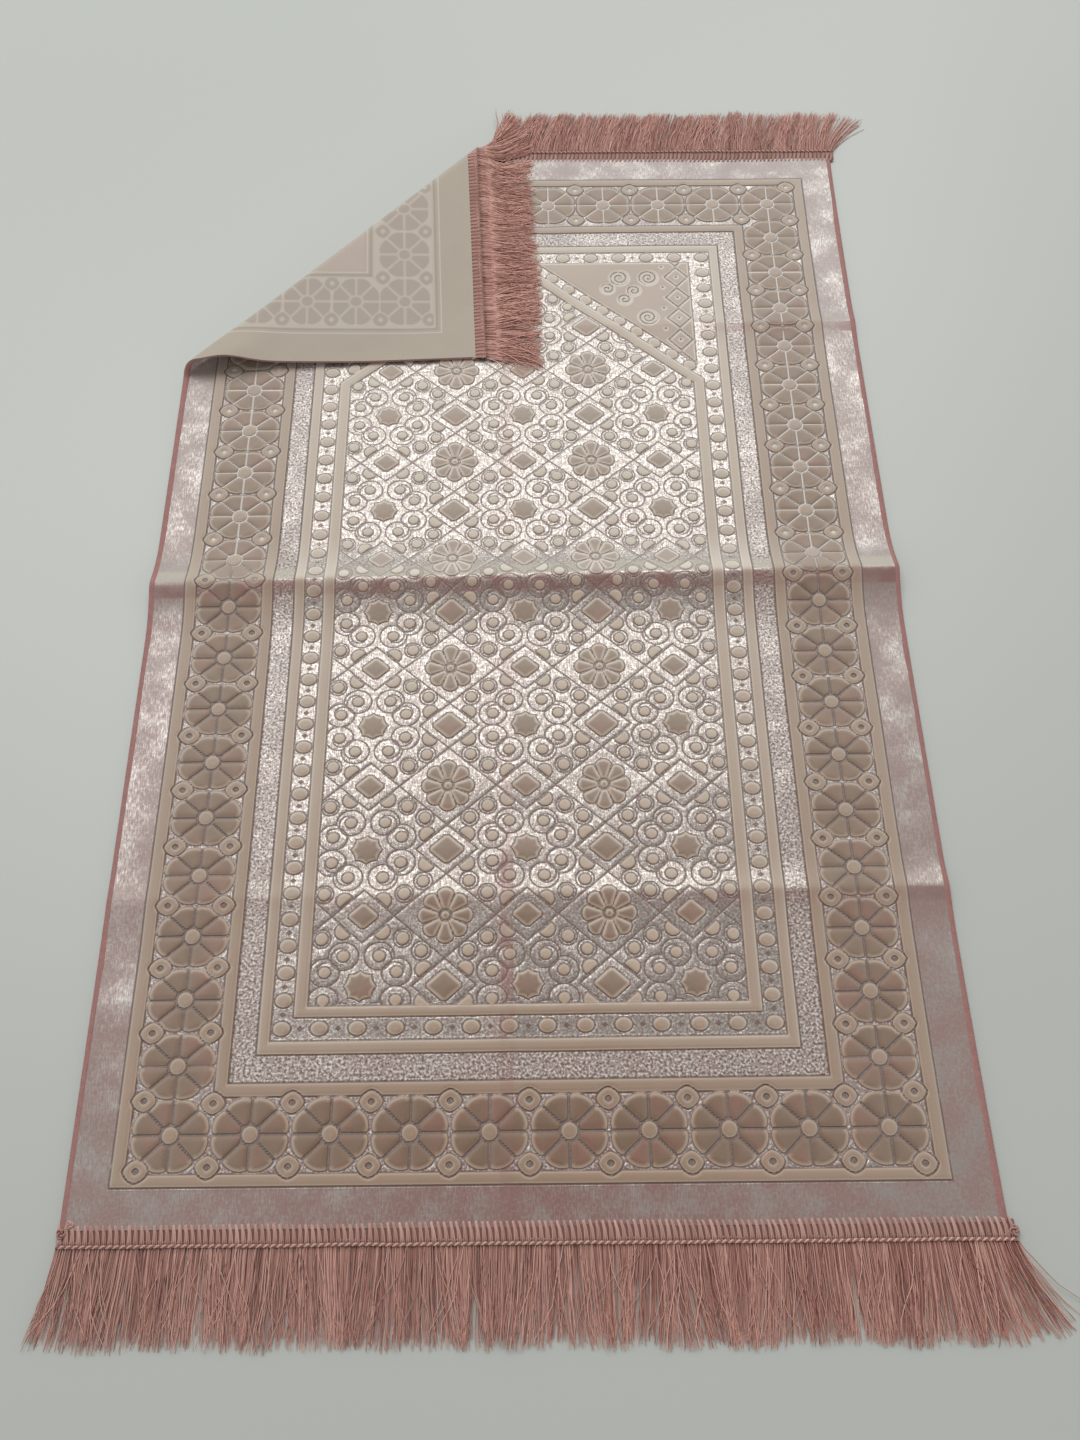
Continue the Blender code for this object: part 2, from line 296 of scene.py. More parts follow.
def math_node(operation, *values):
    tree = next(value for value in values if isinstance(value, Wire)).socket.id_data
    node = tree.nodes.new("ShaderNodeMath")
    node.operation = operation
    for value, slot in zip(values, node.inputs):
        plug(value, slot)
    return Wire(node.outputs[0])


def either(operation, array_function):
    """A function that makes a Math node for wires and works on arrays otherwise."""
    def apply(*values):
        if is_wire(*values):
            return math_node(operation, *values)
        return array_function(*values)
    return apply


lesser = either("MINIMUM", np.minimum)
greater = either("MAXIMUM", np.maximum)
size_of = either("ABSOLUTE", np.abs)
root = either("SQRT", np.sqrt)
sine_of = either("SINE", np.sin)
bearing = either("ARCTAN2", np.arctan2)
below = either("LESS_THAN", lambda value, limit: (value < limit) * 1.0)
wrap = either("WRAP", lambda value, top, low: low + np.mod(value - low, top - low))


def least(*values):
    return reduce(lesser, values)


def most(*values):
    return reduce(greater, values)


def reach(p, q):
    return root(p * p + q * q)


def blend(first, second, share):
    return first + (second - first) * share


def soft_step(value, start, end):
    """0 before start and 1 past end, eased between them.  End may be the lower."""
    if is_wire(value):
        node = value.socket.id_data.nodes.new("ShaderNodeMapRange")
        node.interpolation_type = "SMOOTHSTEP"
        turned = start > end
        plug(value, node.inputs["Value"])
        node.inputs["From Min"].default_value = min(start, end)
        node.inputs["From Max"].default_value = max(start, end)
        node.inputs["To Min"].default_value = 1.0 if turned else 0.0
        node.inputs["To Max"].default_value = 0.0 if turned else 1.0
        return Wire(node.outputs[0])
    return ease(np.clip((value - start) / (end - start), 0, 1))


# ---- the carved pattern, in millimetres ----
# side is the distance from the rug's middle line, and y runs along it from the first row of
# border flowers.  A depth says how far a place is inside the velvet, and a reach how far it
# is from a line or a point.

PATTERN_START = 490.5
# The depth at which the field's small motifs, the other plain motifs and the niche's corner
# go flat.
LOW_FLAT = 0.8
FLAT = 1.8
CORNER_FLAT = 2.5
# A reach that is too far to show.
ABSENT = 60.0

Ring = namedtuple("Ring", "half_width near far")
OUTER_GUARD = (Ring(314.5, -37.0, 1014.0), Ring(304.5, -28.5, 1005.0))
INNER_GUARD = (Ring(243.0, 28.0, 942.0), Ring(233.5, 37.5, 933.0))
MIDDLE_GUARD = (Ring(213.0, 59.5, 912.0), Ring(204.0, 69.0, 903.0))
Niche = namedtuple("Niche", "half_width near out")
NICHE_GUARD = Niche(186.0, 88.0, 5.0)
NICHE_FIELD = Niche(176.0, 96.0, -5.0)
GABLE_TOP = 881.0
GABLE_SLOPE = 0.862
GABLE_LENGTH = math.hypot(1, GABLE_SLOPE)

ROWS_APART = 975.0
FLOWER_SIDE = 273.5
FLOWER_ALONG = 51.316
FLOWER_ACROSS = 60.78
PETAL_WIDE, PETAL_TALL = 30.2, 25.5
ROW_PETAL_LONGER = 2.3
PETAL_SIZE = 27.0
PETAL_NOTCH = 0.11
PETAL_GROOVE = 0.9
BUTTON, BUTTON_RIM = 6.2, 8.2
LOZENGE, LOZENGE_RIM = 8.9, 10.2
LOZENGE_HOLE = 2.7
COLUMN_LOZENGE_OFF = 23.0
ROW_LOZENGE_OFF = 23.2

Dot = namedtuple("Dot", "wide tall size")
BAND_DOT = Dot(6.7, 5.4, 5.8)
GABLE_DOT = Dot(6.4, 5.3, 5.4)
DOT_SIDE = 195.0
DOT_FIRST = 79.0
DOT_ALONG = 22.05
DOT_ACROSS = 30.08
DOT_GABLE = 23.1
DOT_GABLE_FIRST = 34.7
DOT_GABLE_OUT = 10.2
DOT_GABLE_FROM, DOT_GABLE_SIDE = 4.6, 183.0
DOT_ROWS_APART = 974.0
DOT_INNER_SIDE = 184.0
CORNER_SIDE, CORNER_TOP, CORNER_OUT = 180.0, 887.5, 16.5

Scroll = namedtuple("Scroll", "side y radius")
SCROLLS = (
    Scroll(105.0, 866.0, 9.5), Scroll(136.0, 866.0, 9.5), Scroll(133.5, 810.0, 9.5),
    Scroll(92.0, 851.0, 6.5), Scroll(120.0, 848.0, 6.5), Scroll(110.0, 836.0, 6.5),
)
COIL_STEP = 4.6
LATTICE_SIDE, LATTICE_AT, LATTICE_HALF = 166.0, 837.5, 14.6
LATTICE_LEFT = 148.0
LATTICE_WIDE, LATTICE_TALL, LATTICE_SIZE = 12.5, 13.5, 9.0
LATTICE_NEXT = 15.0

CELL_ACROSS = 135.0
CELL_ALONG = 114.4
CELL_FIRST = 111.8
FIELD_LINES = (
    ((41.5, 0.0), (CELL_ACROSS / 2, 21.8)),
    ((0.0, 35.2), (25.5, CELL_ALONG / 2)),
    ((25.5, CELL_ALONG / 2), (CELL_ACROSS / 2, 21.8)),
)
Diamond = namedtuple("Diamond", "wide tall blunt_wide blunt_tall size")
LARGE_DIAMOND = Diamond(15.4, 13.4, 13.8, 11.8, 10.0)
SMALL_DIAMOND = Diamond(13.2, 11.2, 11.6, 9.8, 8.5)
STAR, STAR_NOTCH = 13.4, 2.5
FIELD_PETAL, FIELD_PETAL_FROM = 22.4, 5.8
FIELD_PETAL_TAPER, FIELD_PETAL_GAP = 26.0, 0.325
UPRIGHT_SLOPE = 2.414
FIELD_BUTTON = 3.4
Curl = namedtuple("Curl", "a b start way")
CURLS = (Curl(14.5, 24.2, 0.36, -1.0), Curl(29.0, 11.2, 0.02, 1.0))
CURL_DROP, CURL_EDGE = 4.6, 12.2
HOOK_FROM, HOOK_RISE, HOOK_END = 5.3, 12.6, 0.55
Drop = namedtuple("Drop", "a b radius ring")
DROPS = (Drop(33.0, 38.6, 4.9, 7.6), Drop(48.4, 28.0, 4.6, 7.8))
LEAF, LEAF_GAP = 6.2, 1.9
WEDGE_AT, LEAF_AT = (50.6, 13.0), (16.0, 44.4)


def inside(side, y, ring):
    return least(ring.half_width - side, y - ring.near, ring.far - y)


def stripe(side, y, rings):
    outer, inner = rings
    return lesser(inside(side, y, outer), -inside(side, y, inner))


def gable(side, y):
    """Distance out from the middle of the stripe that closes the niche."""
    return (y - GABLE_TOP + side * GABLE_SLOPE) / GABLE_LENGTH


def niche(side, y, outward, limits):
    return least(limits.half_width - side, y - limits.near, limits.out - outward)


def centred(value, length):
    """The value's place in a repeat of this length, from the middle of the repeat."""
    return wrap(value, length / 2, -length / 2)


def lozenge_reach(p, q):
    """Reach from a lozenge's middle: between a diamond and an oval."""
    p, q = size_of(p), size_of(q) * 1.12
    return (p + q) * 0.26 + reach(p, q) * 0.71


def border_flowers(side, y):
    """Depth in the border's petals and buttons, depth in its lozenges, reach from those, and
    depth inside the round of each flower."""
    row = ROWS_APART / 2 - size_of(y - ROWS_APART / 2)
    half_along, half_across = FLOWER_ALONG / 2, FLOWER_ACROSS / 2
    column_p = side - FLOWER_SIDE
    column_q = centred(row, FLOWER_ALONG)
    row_p = centred(column_p, FLOWER_ACROSS)
    in_row = below(row, below(side, INNER_GUARD[0].half_width) * 2.8 + half_along)
    p = blend(column_p, row_p, in_row)
    q = blend(column_q, row, in_row)
    wide, tall = p / PETAL_WIDE, q / (in_row * ROW_PETAL_LONGER + PETAL_TALL)
    out = reach(wide, tall)
    lobe = size_of(sine_of(bearing(tall, wide) * 4.0))
    middle = reach(p, q)
    petal = least((root(lobe) * PETAL_NOTCH + (1 - PETAL_NOTCH) - out) * PETAL_SIZE,
                  lobe * out * (PETAL_SIZE / 4) - PETAL_GROOVE, middle - BUTTON_RIM)
    flower = greater(petal, lesser(BUTTON - middle, FLAT))
    column = lozenge_reach(size_of(column_p) - COLUMN_LOZENGE_OFF, half_along - size_of(column_q))
    beside = lozenge_reach(size_of(row_p) - half_across, size_of(row) - ROW_LOZENGE_OFF)
    no_column = below(row, FLOWER_ALONG) * below(side, FLOWER_SIDE)
    no_row = below(FLOWER_SIDE, side)
    away = lesser(column + no_column * ABSENT, beside + no_row * ABSENT)
    lozenge = least(LOZENGE - away, away - LOZENGE_HOLE, FLAT)
    blossom = lesser((0.96 - out) * PETAL_SIZE, away - LOZENGE_RIM + 0.8)
    return lesser(flower, away - LOZENGE_RIM), lozenge, away, blossom


def dot_depth(p, q, dot):
    return (1 - reach(p / dot.wide, q / dot.tall)) * dot.size


def band_dots(side, y, outward):
    """Depth in the dots of the two bands round the niche, and reach from the dark pips."""
    row = lesser(y, DOT_ROWS_APART - y)
    in_row = below(row, DOT_FIRST + DOT_ALONG / 2) * below(side, DOT_INNER_SIDE)
    p = blend(side - DOT_SIDE, wrap(side, DOT_ACROSS, 0.0) - DOT_ACROSS / 2, in_row)
    q = blend(centred(row - DOT_FIRST, DOT_ALONG), row - DOT_FIRST, in_row)
    dot = dot_depth(p, q, BAND_DOT)
    pip_p = size_of(blend(p, size_of(p) - DOT_ACROSS / 2, in_row))
    pip_q = size_of(blend(size_of(q) - DOT_ALONG / 2, q, in_row))
    pip = pip_p * 0.8 + pip_q
    run = (side - (y - GABLE_TOP) * GABLE_SLOPE) / GABLE_LENGTH - DOT_GABLE_FIRST
    gable_dot = dot_depth(centred(run, DOT_GABLE), outward - DOT_GABLE_OUT, GABLE_DOT)
    gable_dot = least(gable_dot, outward - DOT_GABLE_FROM, DOT_GABLE_SIDE - side)
    beside_niche = most(side - DOT_INNER_SIDE, NICHE_GUARD.near - row)
    band = least(MIDDLE_GUARD[1].half_width - side, row - MIDDLE_GUARD[1].near, beside_niche)
    return greater(lesser(dot, band), gable_dot), pip


def spandrel(side, y, outward):
    """Depth in the plain velvet beside the niche's point, and reach from its engraving."""
    depth = least(CORNER_SIDE - side, CORNER_TOP - y, outward - CORNER_OUT)
    line = ABSENT
    for scroll in SCROLLS:
        p, q = side - scroll.side, y - scroll.y
        turn = wrap(bearing(q, p) / math.tau + scroll.side * 0.1, 1.0, 0.0)
        coil = wrap(reach(p, q) - turn * COIL_STEP, COIL_STEP, 0.0)
        from_coil = COIL_STEP / 2 - size_of(coil - COIL_STEP / 2)
        line = lesser(line, greater(from_coil, reach(p, q) - scroll.radius))
    p = size_of(side - LATTICE_SIDE)
    q = size_of(centred(y - LATTICE_AT, 2 * LATTICE_HALF))
    diamond = size_of(p / LATTICE_WIDE + q / LATTICE_TALL - 1.0) * LATTICE_SIZE
    dots = lesser(reach(p, q), reach(size_of(p) - LATTICE_NEXT, LATTICE_HALF - q))
    line = least(line, greater(diamond, LATTICE_LEFT - side),
                 greater(dots - 0.5, LATTICE_LEFT - 2.0 - side))
    return depth, line


def through(a, b, first, second):
    """Signed distance from the line through two places."""
    run, rise = second[0] - first[0], second[1] - first[1]
    length = math.hypot(run, rise)
    return (a - first[0]) * (-rise / length) + (b - first[1]) * (run / length)


def diamond_depth(p, q, diamond):
    """Depth in a diamond with its four points cut a little blunt."""
    blunt = lesser((diamond.blunt_wide - p) / diamond.size, (diamond.blunt_tall - q) / diamond.size)
    return lesser(1.0 - p / diamond.wide - q / diamond.tall, blunt) * diamond.size


def field_flower(p, q):
    """Depth in the field's flower of eight petals: its upright petals are the longest."""
    out = reach(p, q * 1.02)
    turn = size_of(centred(bearing(q, p), math.pi / 4))
    upright = below(p * UPRIGHT_SLOPE, q)
    petal = least(upright * 1.0 + FIELD_PETAL - turn * turn * FIELD_PETAL_TAPER - out,
                  (FIELD_PETAL_GAP - turn) * out + upright * 0.5, out - FIELD_PETAL_FROM)
    return greater(petal, FIELD_BUTTON - out)


def field_motifs(side, y):
    """Depth in the field's motifs, and reach from its engraved lines."""
    a = size_of(centred(side, CELL_ACROSS))
    b = size_of(centred(y - CELL_FIRST, CELL_ALONG))
    far_a, far_b = CELL_ACROSS / 2 - a, CELL_ALONG / 2 - b
    star = STAR - root(size_of(sine_of(bearing(b, a) * 4.0))) * STAR_NOTCH - reach(a, b * 1.06)
    depth = most(star, diamond_depth(far_a, b, LARGE_DIAMOND),
                 diamond_depth(a, far_b, SMALL_DIAMOND), field_flower(far_a, far_b))
    slant, slope, rafter = [through(a, b, *ends) for ends in FIELD_LINES]
    line = least(size_of(slant), size_of(slope), size_of(rafter))
    edges = []
    for curl in CURLS:
        p, q = a - curl.a, b - curl.b
        away = reach(p, q * 1.08)
        turn = wrap(bearing(q, p) * (curl.way / math.tau) + curl.start, 1.0, 0.0)
        hook = greater(size_of(away - HOOK_FROM - turn * HOOK_RISE), (turn - HOOK_END) * ABSENT)
        line = lesser(line, hook)
        depth = greater(depth, lesser(CURL_DROP - away, LOW_FLAT))
        edges.append(away - CURL_EDGE)
    between = greater(size_of(edges[0] - edges[1]) * 0.6, greater(*edges))
    line = least(line, size_of(lesser(*edges)), between)
    for drop in DROPS:
        away = reach(a - drop.a, b - drop.b)
        depth = greater(depth, lesser(drop.radius - away, LOW_FLAT))
        line = lesser(line, size_of(away - drop.ring))
    wedge = lesser(LEAF - reach(a - WEDGE_AT[0], b - WEDGE_AT[1]), slant - LEAF_GAP)
    leaf = lesser(LEAF - reach(a - LEAF_AT[0], b - LEAF_AT[1]), -slope - LEAF_GAP)
    return greater(depth, lesser(greater(wedge, leaf), LOW_FLAT)), line


def carving(side, y):
    """Depth inside the velvet, reach from the lines engraved in the ground, depth in the
    pits of the lozenges and between the dots, and depth inside the border's flowers."""
    outward = gable(side, y)
    flowers, lozenges, away, blossom = border_flowers(side, y)
    outer_edge = inside(side, y, OUTER_GUARD[1]) + 0.3
    from_inner = inside(side, y, INNER_GUARD[0])
    flowers = least(flowers, outer_edge, 0.4 - from_inner)
    lozenges = least(lozenges, outer_edge + 4.6, 6.0 - from_inner)
    guards = greater(stripe(side, y, OUTER_GUARD), stripe(side, y, INNER_GUARD))
    guards = least(guards, away - LOZENGE_RIM - 0.2, FLAT)
    field = niche(side, y, outward, NICHE_FIELD)
    in_niche_guard = niche(side, y, outward, NICHE_GUARD)
    dots, pips = band_dots(side, y, outward)
    corner, engraving = spandrel(side, y, outward)
    motifs, lines = field_motifs(side, y)
    niche_guard = lesser(in_niche_guard, -field)
    inner = lesser(most(stripe(side, y, MIDDLE_GUARD), niche_guard, dots), FLAT)
    corner = least(corner, engraving - 0.8, CORNER_FLAT)
    depth = most(flowers, lozenges, guards, inner, corner, lesser(motifs, field - 0.4))
    lines = greater(lines, 0.6 - field)
    band = lesser(inside(side, y, MIDDLE_GUARD[1]), -in_niche_guard)
    in_border = lesser(outer_edge + 5.0, 6.0 - from_inner)
    pits = greater(lesser(LOZENGE_HOLE + 0.2 - away, in_border), lesser(2.3 - pips, band - 2.0))
    return depth, lines, pits, blossom


# ---- meshes ----

def add_object(name, data):
    added = bpy.data.objects.new(name, data)
    bpy.context.scene.collection.objects.link(added)
    return added


def add_mesh(name, points, faces, finish, places=None, facts=None, normals=None, spots=None):
    """A smooth mesh of four-cornered faces, with its flat places kept in millimetres."""
    data = bpy.data.meshes.new(name)
    data.vertices.add(points.size // 3)
    data.vertices.foreach_set("co", np.asarray(points, np.float32).ravel())
    data.loops.add(faces.size)
    data.loops.foreach_set("vertex_index", faces.astype(np.int32).ravel())
    data.polygons.add(len(faces))
    data.polygons.foreach_set("loop_start", np.arange(0, faces.size, 4, dtype=np.int32))
    data.update(calc_edges=True)
    data.shade_smooth()
    if places is not None:
        kept = data.attributes.new("rug_mm", "FLOAT_VECTOR", "POINT")
        kept.data.foreach_set("vector", np.asarray(places, np.float32).ravel())
    for fact, values in (facts or {}).items():
        kept = data.attributes.new(fact, "FLOAT", "POINT")
        kept.data.foreach_set("value", np.asarray(values, np.float32).ravel())
    if spots is not None:
        layer = data.uv_layers.new(name="OFBake")
        spots = np.asarray(spots, np.float32).reshape(-1, 2)
        layer.uv.foreach_set("vector", spots[faces.ravel()].ravel())
    if normals is not None:
        data.normals_split_custom_set_from_vertices(normals.reshape(-1, 3))
    data.materials.append(finish)
    return add_object(name, data)


def grid_faces(rows, columns, upward=True):
    corner = (np.arange(rows - 1)[:, None] * columns + np.arange(columns - 1)).ravel()
    order = (0, 1, columns + 1, columns) if upward else (0, columns, columns + 1, 1)
    return np.stack([corner + step for step in order], axis=1)


def grid_normals(places):
    """Normals of a grid of places, so that the pieces cut from it shade as one."""
    along = np.gradient(places, axis=0)
    across = np.gradient(places, axis=1)
    return unit(np.cross(across, along))


def section_spots(along, around):
    """Texture spots for a section of so many places, repeated at each place along."""
    share = (along - along[0]) / np.ptp(along)
    pair = np.broadcast_arrays(np.linspace(0, 1, around)[None, :], share[:, None])
    return np.stack(pair, axis=-1)


def pattern_places(u, v):
    return np.stack((u * 1000, v * 1000 + PATTERN_START, np.zeros_like(u)), axis=-1)


def pile_height(u, v):
    """Level of the carved pile over the cloth's underside, depth inside its velvet and reach
    from its engraved lines."""
    depth, line, _, _ = carving(np.abs(u) * 1000, v * 1000 + PATTERN_START)
    raised = soft_step(depth, -1.1, 1.9)
    puff = soft_step(depth, 0.0, 8.0)
    engraved = soft_step(line, 2.0, 0.4) * (1 - raised)
    level = GROUND_LEVEL + VELVET_RISE * raised + PUFF_RISE * puff
    return level - ENGRAVED_DROP * engraved, depth, line


def carved_pile(finish):
    """The rug's face, in three pieces along its length."""
    left, right = LEFT_EDGE + UNDER_EDGE, RIGHT_EDGE - UNDER_EDGE
    across = np.linspace(left, right, int((right - left) / GRID_STEP))
    end = HALF_LENGTH + UNDER_HEADING
    along = np.linspace(-end, end, int(2 * end / GRID_STEP))
    u, v = np.meshgrid(across, along)
    level, depth, line = pile_height(u, v)
    laid = lay_at(u, v, level)
    laid[..., 2] += unevenness(u, v) * lying_flat(u, v)
    normals = grid_normals(laid)
    spots = np.stack(((u - left) / (right - left), v), axis=-1)
    pieces = []
    cuts = np.linspace(0, len(along) - 1, 4).astype(int)
    for name, first, last in zip(("near", "middle", "far"), cuts, cuts[1:]):
        part = slice(first, last + 1)
        spot = spots[part].copy()
        spot[..., 1] = (spot[..., 1] - along[first]) / (along[last] - along[first])
        pieces.append(add_mesh(
            "pile_" + name, laid[part], grid_faces(last - first + 1, len(across)), finish,
            places=pattern_places(u[part], v[part]), normals=normals[part], spots=spot,
            facts={"velvet_depth": depth[part], "line_reach": line[part]}))
    return pieces


def steps_between(low, high, fine_from, fine_to):
    """Places from low to high, closely spaced between fine_from and fine_to."""
    places = [low]
    while places[-1] < high:
        fine = fine_from < places[-1] < fine_to
        places.append(places[-1] + (BACK_FINE_STEP if fine else BACK_STEP))
    places[-1] = high
    return np.array(places)


def cloth_back(finish):
    """The plain back, which shows on the turned corner and from below."""
    left, right = LEFT_EDGE + SKIN_INSET, RIGHT_EDGE - SKIN_INSET
    end = HALF_LENGTH + UNDER_HEADING
    across = steps_between(left, right, left - SMALL, BACK_FINE_TO)
    along = steps_between(-end, end, BACK_FINE_FROM, end)
    u, v = np.meshgrid(across, along)
    laid = lay_at(u, v, BACK_LEVEL)
    laid[..., 2] += unevenness(u, v) * lying_flat(u, v) * 0.5
    spots = np.stack(((u - left) / (right - left), (v + end) / (2 * end)), axis=-1)
    return add_mesh("cloth_back", laid, grid_faces(len(along), len(across), upward=False),
                    finish, places=pattern_places(u, v), spots=spots)


def overlock(name, edge, inward, finish):
    """The yarn whipped over one long side, with a ridge for each stitch."""
    section = np.array(OVERLOCK_SECTION)
    along = np.arange(-HALF_LENGTH - 0.001, HALF_LENGTH + 0.001, STITCH_PITCH / 4)
    v = np.repeat(along[:, None], len(section), axis=1)
    outward = unit(section - section.mean(axis=0))
    phase = v / STITCH_PITCH + section[:, 0] * STITCH_SLANT + 0.3 * wander(along, 0.01, 8)[:, None]
    ridge = STITCH_RIDGE * (np.cos(math.tau * phase) + 0.4 * wander(along, 0.004, 9)[:, None])
    inset = section[:, 0] + ridge * outward[:, 0]
    w = section[:, 1] + ridge * outward[:, 1]
    u = edge + inward * (np.maximum(inset, 0.0) + OVERLOCK_FLOOR)
    laid = lay_at(u, v, np.maximum(w, OVERLOCK_FLOOR))
    return add_mesh(name, laid, grid_faces(len(along), len(section), upward=inward > 0), finish,
                    places=pattern_places(u, v), spots=section_spots(along, len(section)))


OVERLOCK_SECTION = ((0.0016, 0.0003), (0.0004, 0.0008), (0.0001, 0.0018), (0.0008, 0.0029),
                    (0.0023, 0.0034), (0.0041, 0.0033), (0.0056, 0.0027), (0.0064, 0.0018))
STITCH_PITCH = 0.0024
STITCH_RIDGE = 0.00022
STITCH_SLANT = 190
OVERLOCK_FLOOR = 0.0002


# ---- yarn ----

def tube_mesh(name, courses, radii, sides, finish, tones, across=None):
    """Joined tubes along courses (tubes, places, 3)."""
    count, places = courses.shape[:2]
    radii = np.broadcast_to(radii, (count, places))
    ahead = unit(np.gradient(courses, axis=1))
    upward = np.array((0.0, 0.0, 1.0)) if across is None else across
    beside = unit(np.cross(ahead, upward))
    above = np.cross(beside, ahead)
    turns = np.arange(sides) * math.tau / sides
    rings = (np.cos(turns)[:, None] * beside[:, :, None] + np.sin(turns)[:, None]
             * above[:, :, None])
    points = courses[:, :, None] + radii[..., None, None] * rings
    tube = (np.arange(count) * places * sides)[:, None, None]
    ring = (np.arange(places - 1) * sides)[None, :, None]
    here = np.arange(sides)[None, None, :]
    after = (here + 1) % sides
    corners = [tube + ring + here, tube + ring + after,
               tube + ring + sides + after, tube + ring + sides + here]
    faces = np.stack(np.broadcast_arrays(*corners), axis=-1).reshape(-1, 4)
    run = np.broadcast_to(np.linspace(0, 1, places)[None, :, None], points.shape[:3])
    tone = np.broadcast_to(np.asarray(tones)[:, None, None], points.shape[:3])
    rows = 4
    per_row = math.ceil(count / rows)
    index = np.arange(count)
    spot_u = ((index % per_row) + 0.5)[:, None, None] / per_row + (here - 1) * 0.2 / per_row
    spot_v = ((index // per_row)[:, None, None] + 0.05 + 0.9 * run) / rows
    spots = np.stack(np.broadcast_arrays(spot_u, spot_v), axis=-1)
    return add_mesh(name, points, faces, finish, facts={"tone": tone, "run": run}, spots=spots)


def lock_drift(end, u):
    """How far sideways the fringe lies at its tips."""
    drift = np.zeros_like(u)
    for fan in FANS:
        if fan.end == end:
            drift += fan.reach * np.exp(-np.abs(u - fan.at) / fan.decay)
    for number, (length, far) in enumerate(DRIFT_WAVES):
        drift += far * np.sin(math.tau * u / length + end + number)
    return drift


YARNS = 2750
YARN_PLACES = 7
YARN_SIDES = 3
YARN_ROOT = 0.00046
YARN_TIP = 0.00024
YARN_FLOOR = 0.0001
YARN_JITTER = 0.0003
YARN_SEAM = 0.0016
YARN_LOW, YARN_LAYERS = 0.0008, 0.0022
PLAIN_WAVE, FLAP_WAVE, STRAY_WAVE = 0.0009, 0.0029, 0.0030
STRAY_SHARE = 0.08
STRAY_LIFT = 0.0006
FLAP_SHORTER = 0.90
REST_LOW, REST_ROOT, REST_TIP_LESS = 0.0005, 0.0038, 0.0020
REST_ON_FLAP, REST_ON_ROLL = 0.0036, 0.0042
FLAT_FALL, FOLDED_FALL = 0.012, 0.034
FAR_LEAN = 0.017
FAR_LEAN_EASE = 0.10
PARTING_REACH = 0.009
YARN_SPREAD, STRAY_SPREAD, FEATHER_SPREAD = 0.0021, 0.013, 0.0022
CLUMP_WAVES = ((0.0034, 0.019, 2), (0.0022, 0.0052, 1))
TANGLE_WAVES = ((0.010, 0.030, 3), (0.007, 0.011, 4))
FEATHER_WAVES = ((0.0035, 0.008, 7),)
LENGTH_WAVES = ((0.0024, 0.009, 5),)
LENGTH_LESS, LENGTH_MOST_MORE = 0.0010, 0.0042
LENGTH_CHANCE = (-0.0016, 0.0040)
Parting = namedtuple("Parting", "end at size")
PARTINGS = (
    Parting(-1, -0.239, 0.0046),
    Parting(-1, -0.041, 0.0040),
    Parting(-1, 0.061, 0.0036),
    Parting(-1, 0.232, 0.0022),
    Parting(1, 0.020, 0.0030),
    Parting(1, 0.148, 0.0020),
)


def yarn_drift(end, u, flap, stray, chance, seed):
    """How far sideways each yarn's tip lies: with its lock, in loose clumps, or astray."""
    drift = lock_drift(end, u)
    drift += waves_of(CLUMP_WAVES, u, seed)
    drift += chance.normal(0, YARN_SPREAD, len(u))
    drift += np.where(stray, chance.normal(0, STRAY_SPREAD, len(u)), 0)
    for parting in PARTINGS:
        if parting.end == end:
            away = u - parting.at
            drift += parting.size * np.sign(away) * np.exp(-np.abs(away) / PARTING_REACH)
    if end > 0:
        lean = FAR_LEAN * (1 - np.exp((u - RIGHT_EDGE) / FAR_LEAN_EASE))
        feather = waves_of(FEATHER_WAVES, u, seed) + chance.normal(0, FEATHER_SPREAD, len(u))
        drift += np.where(flap, waves_of(TANGLE_WAVES, u, seed), lean + feather)
    return drift


def yarn_length(u, flap, chance, seed):
    length = LOCK_LENGTH + waves_of(LENGTH_WAVES, u, seed) - LENGTH_LESS
    length += np.minimum(chance.normal(*LENGTH_CHANCE, len(u)), LENGTH_MOST_MORE)
    return length * np.where(flap, FLAP_SHORTER, 1.0)


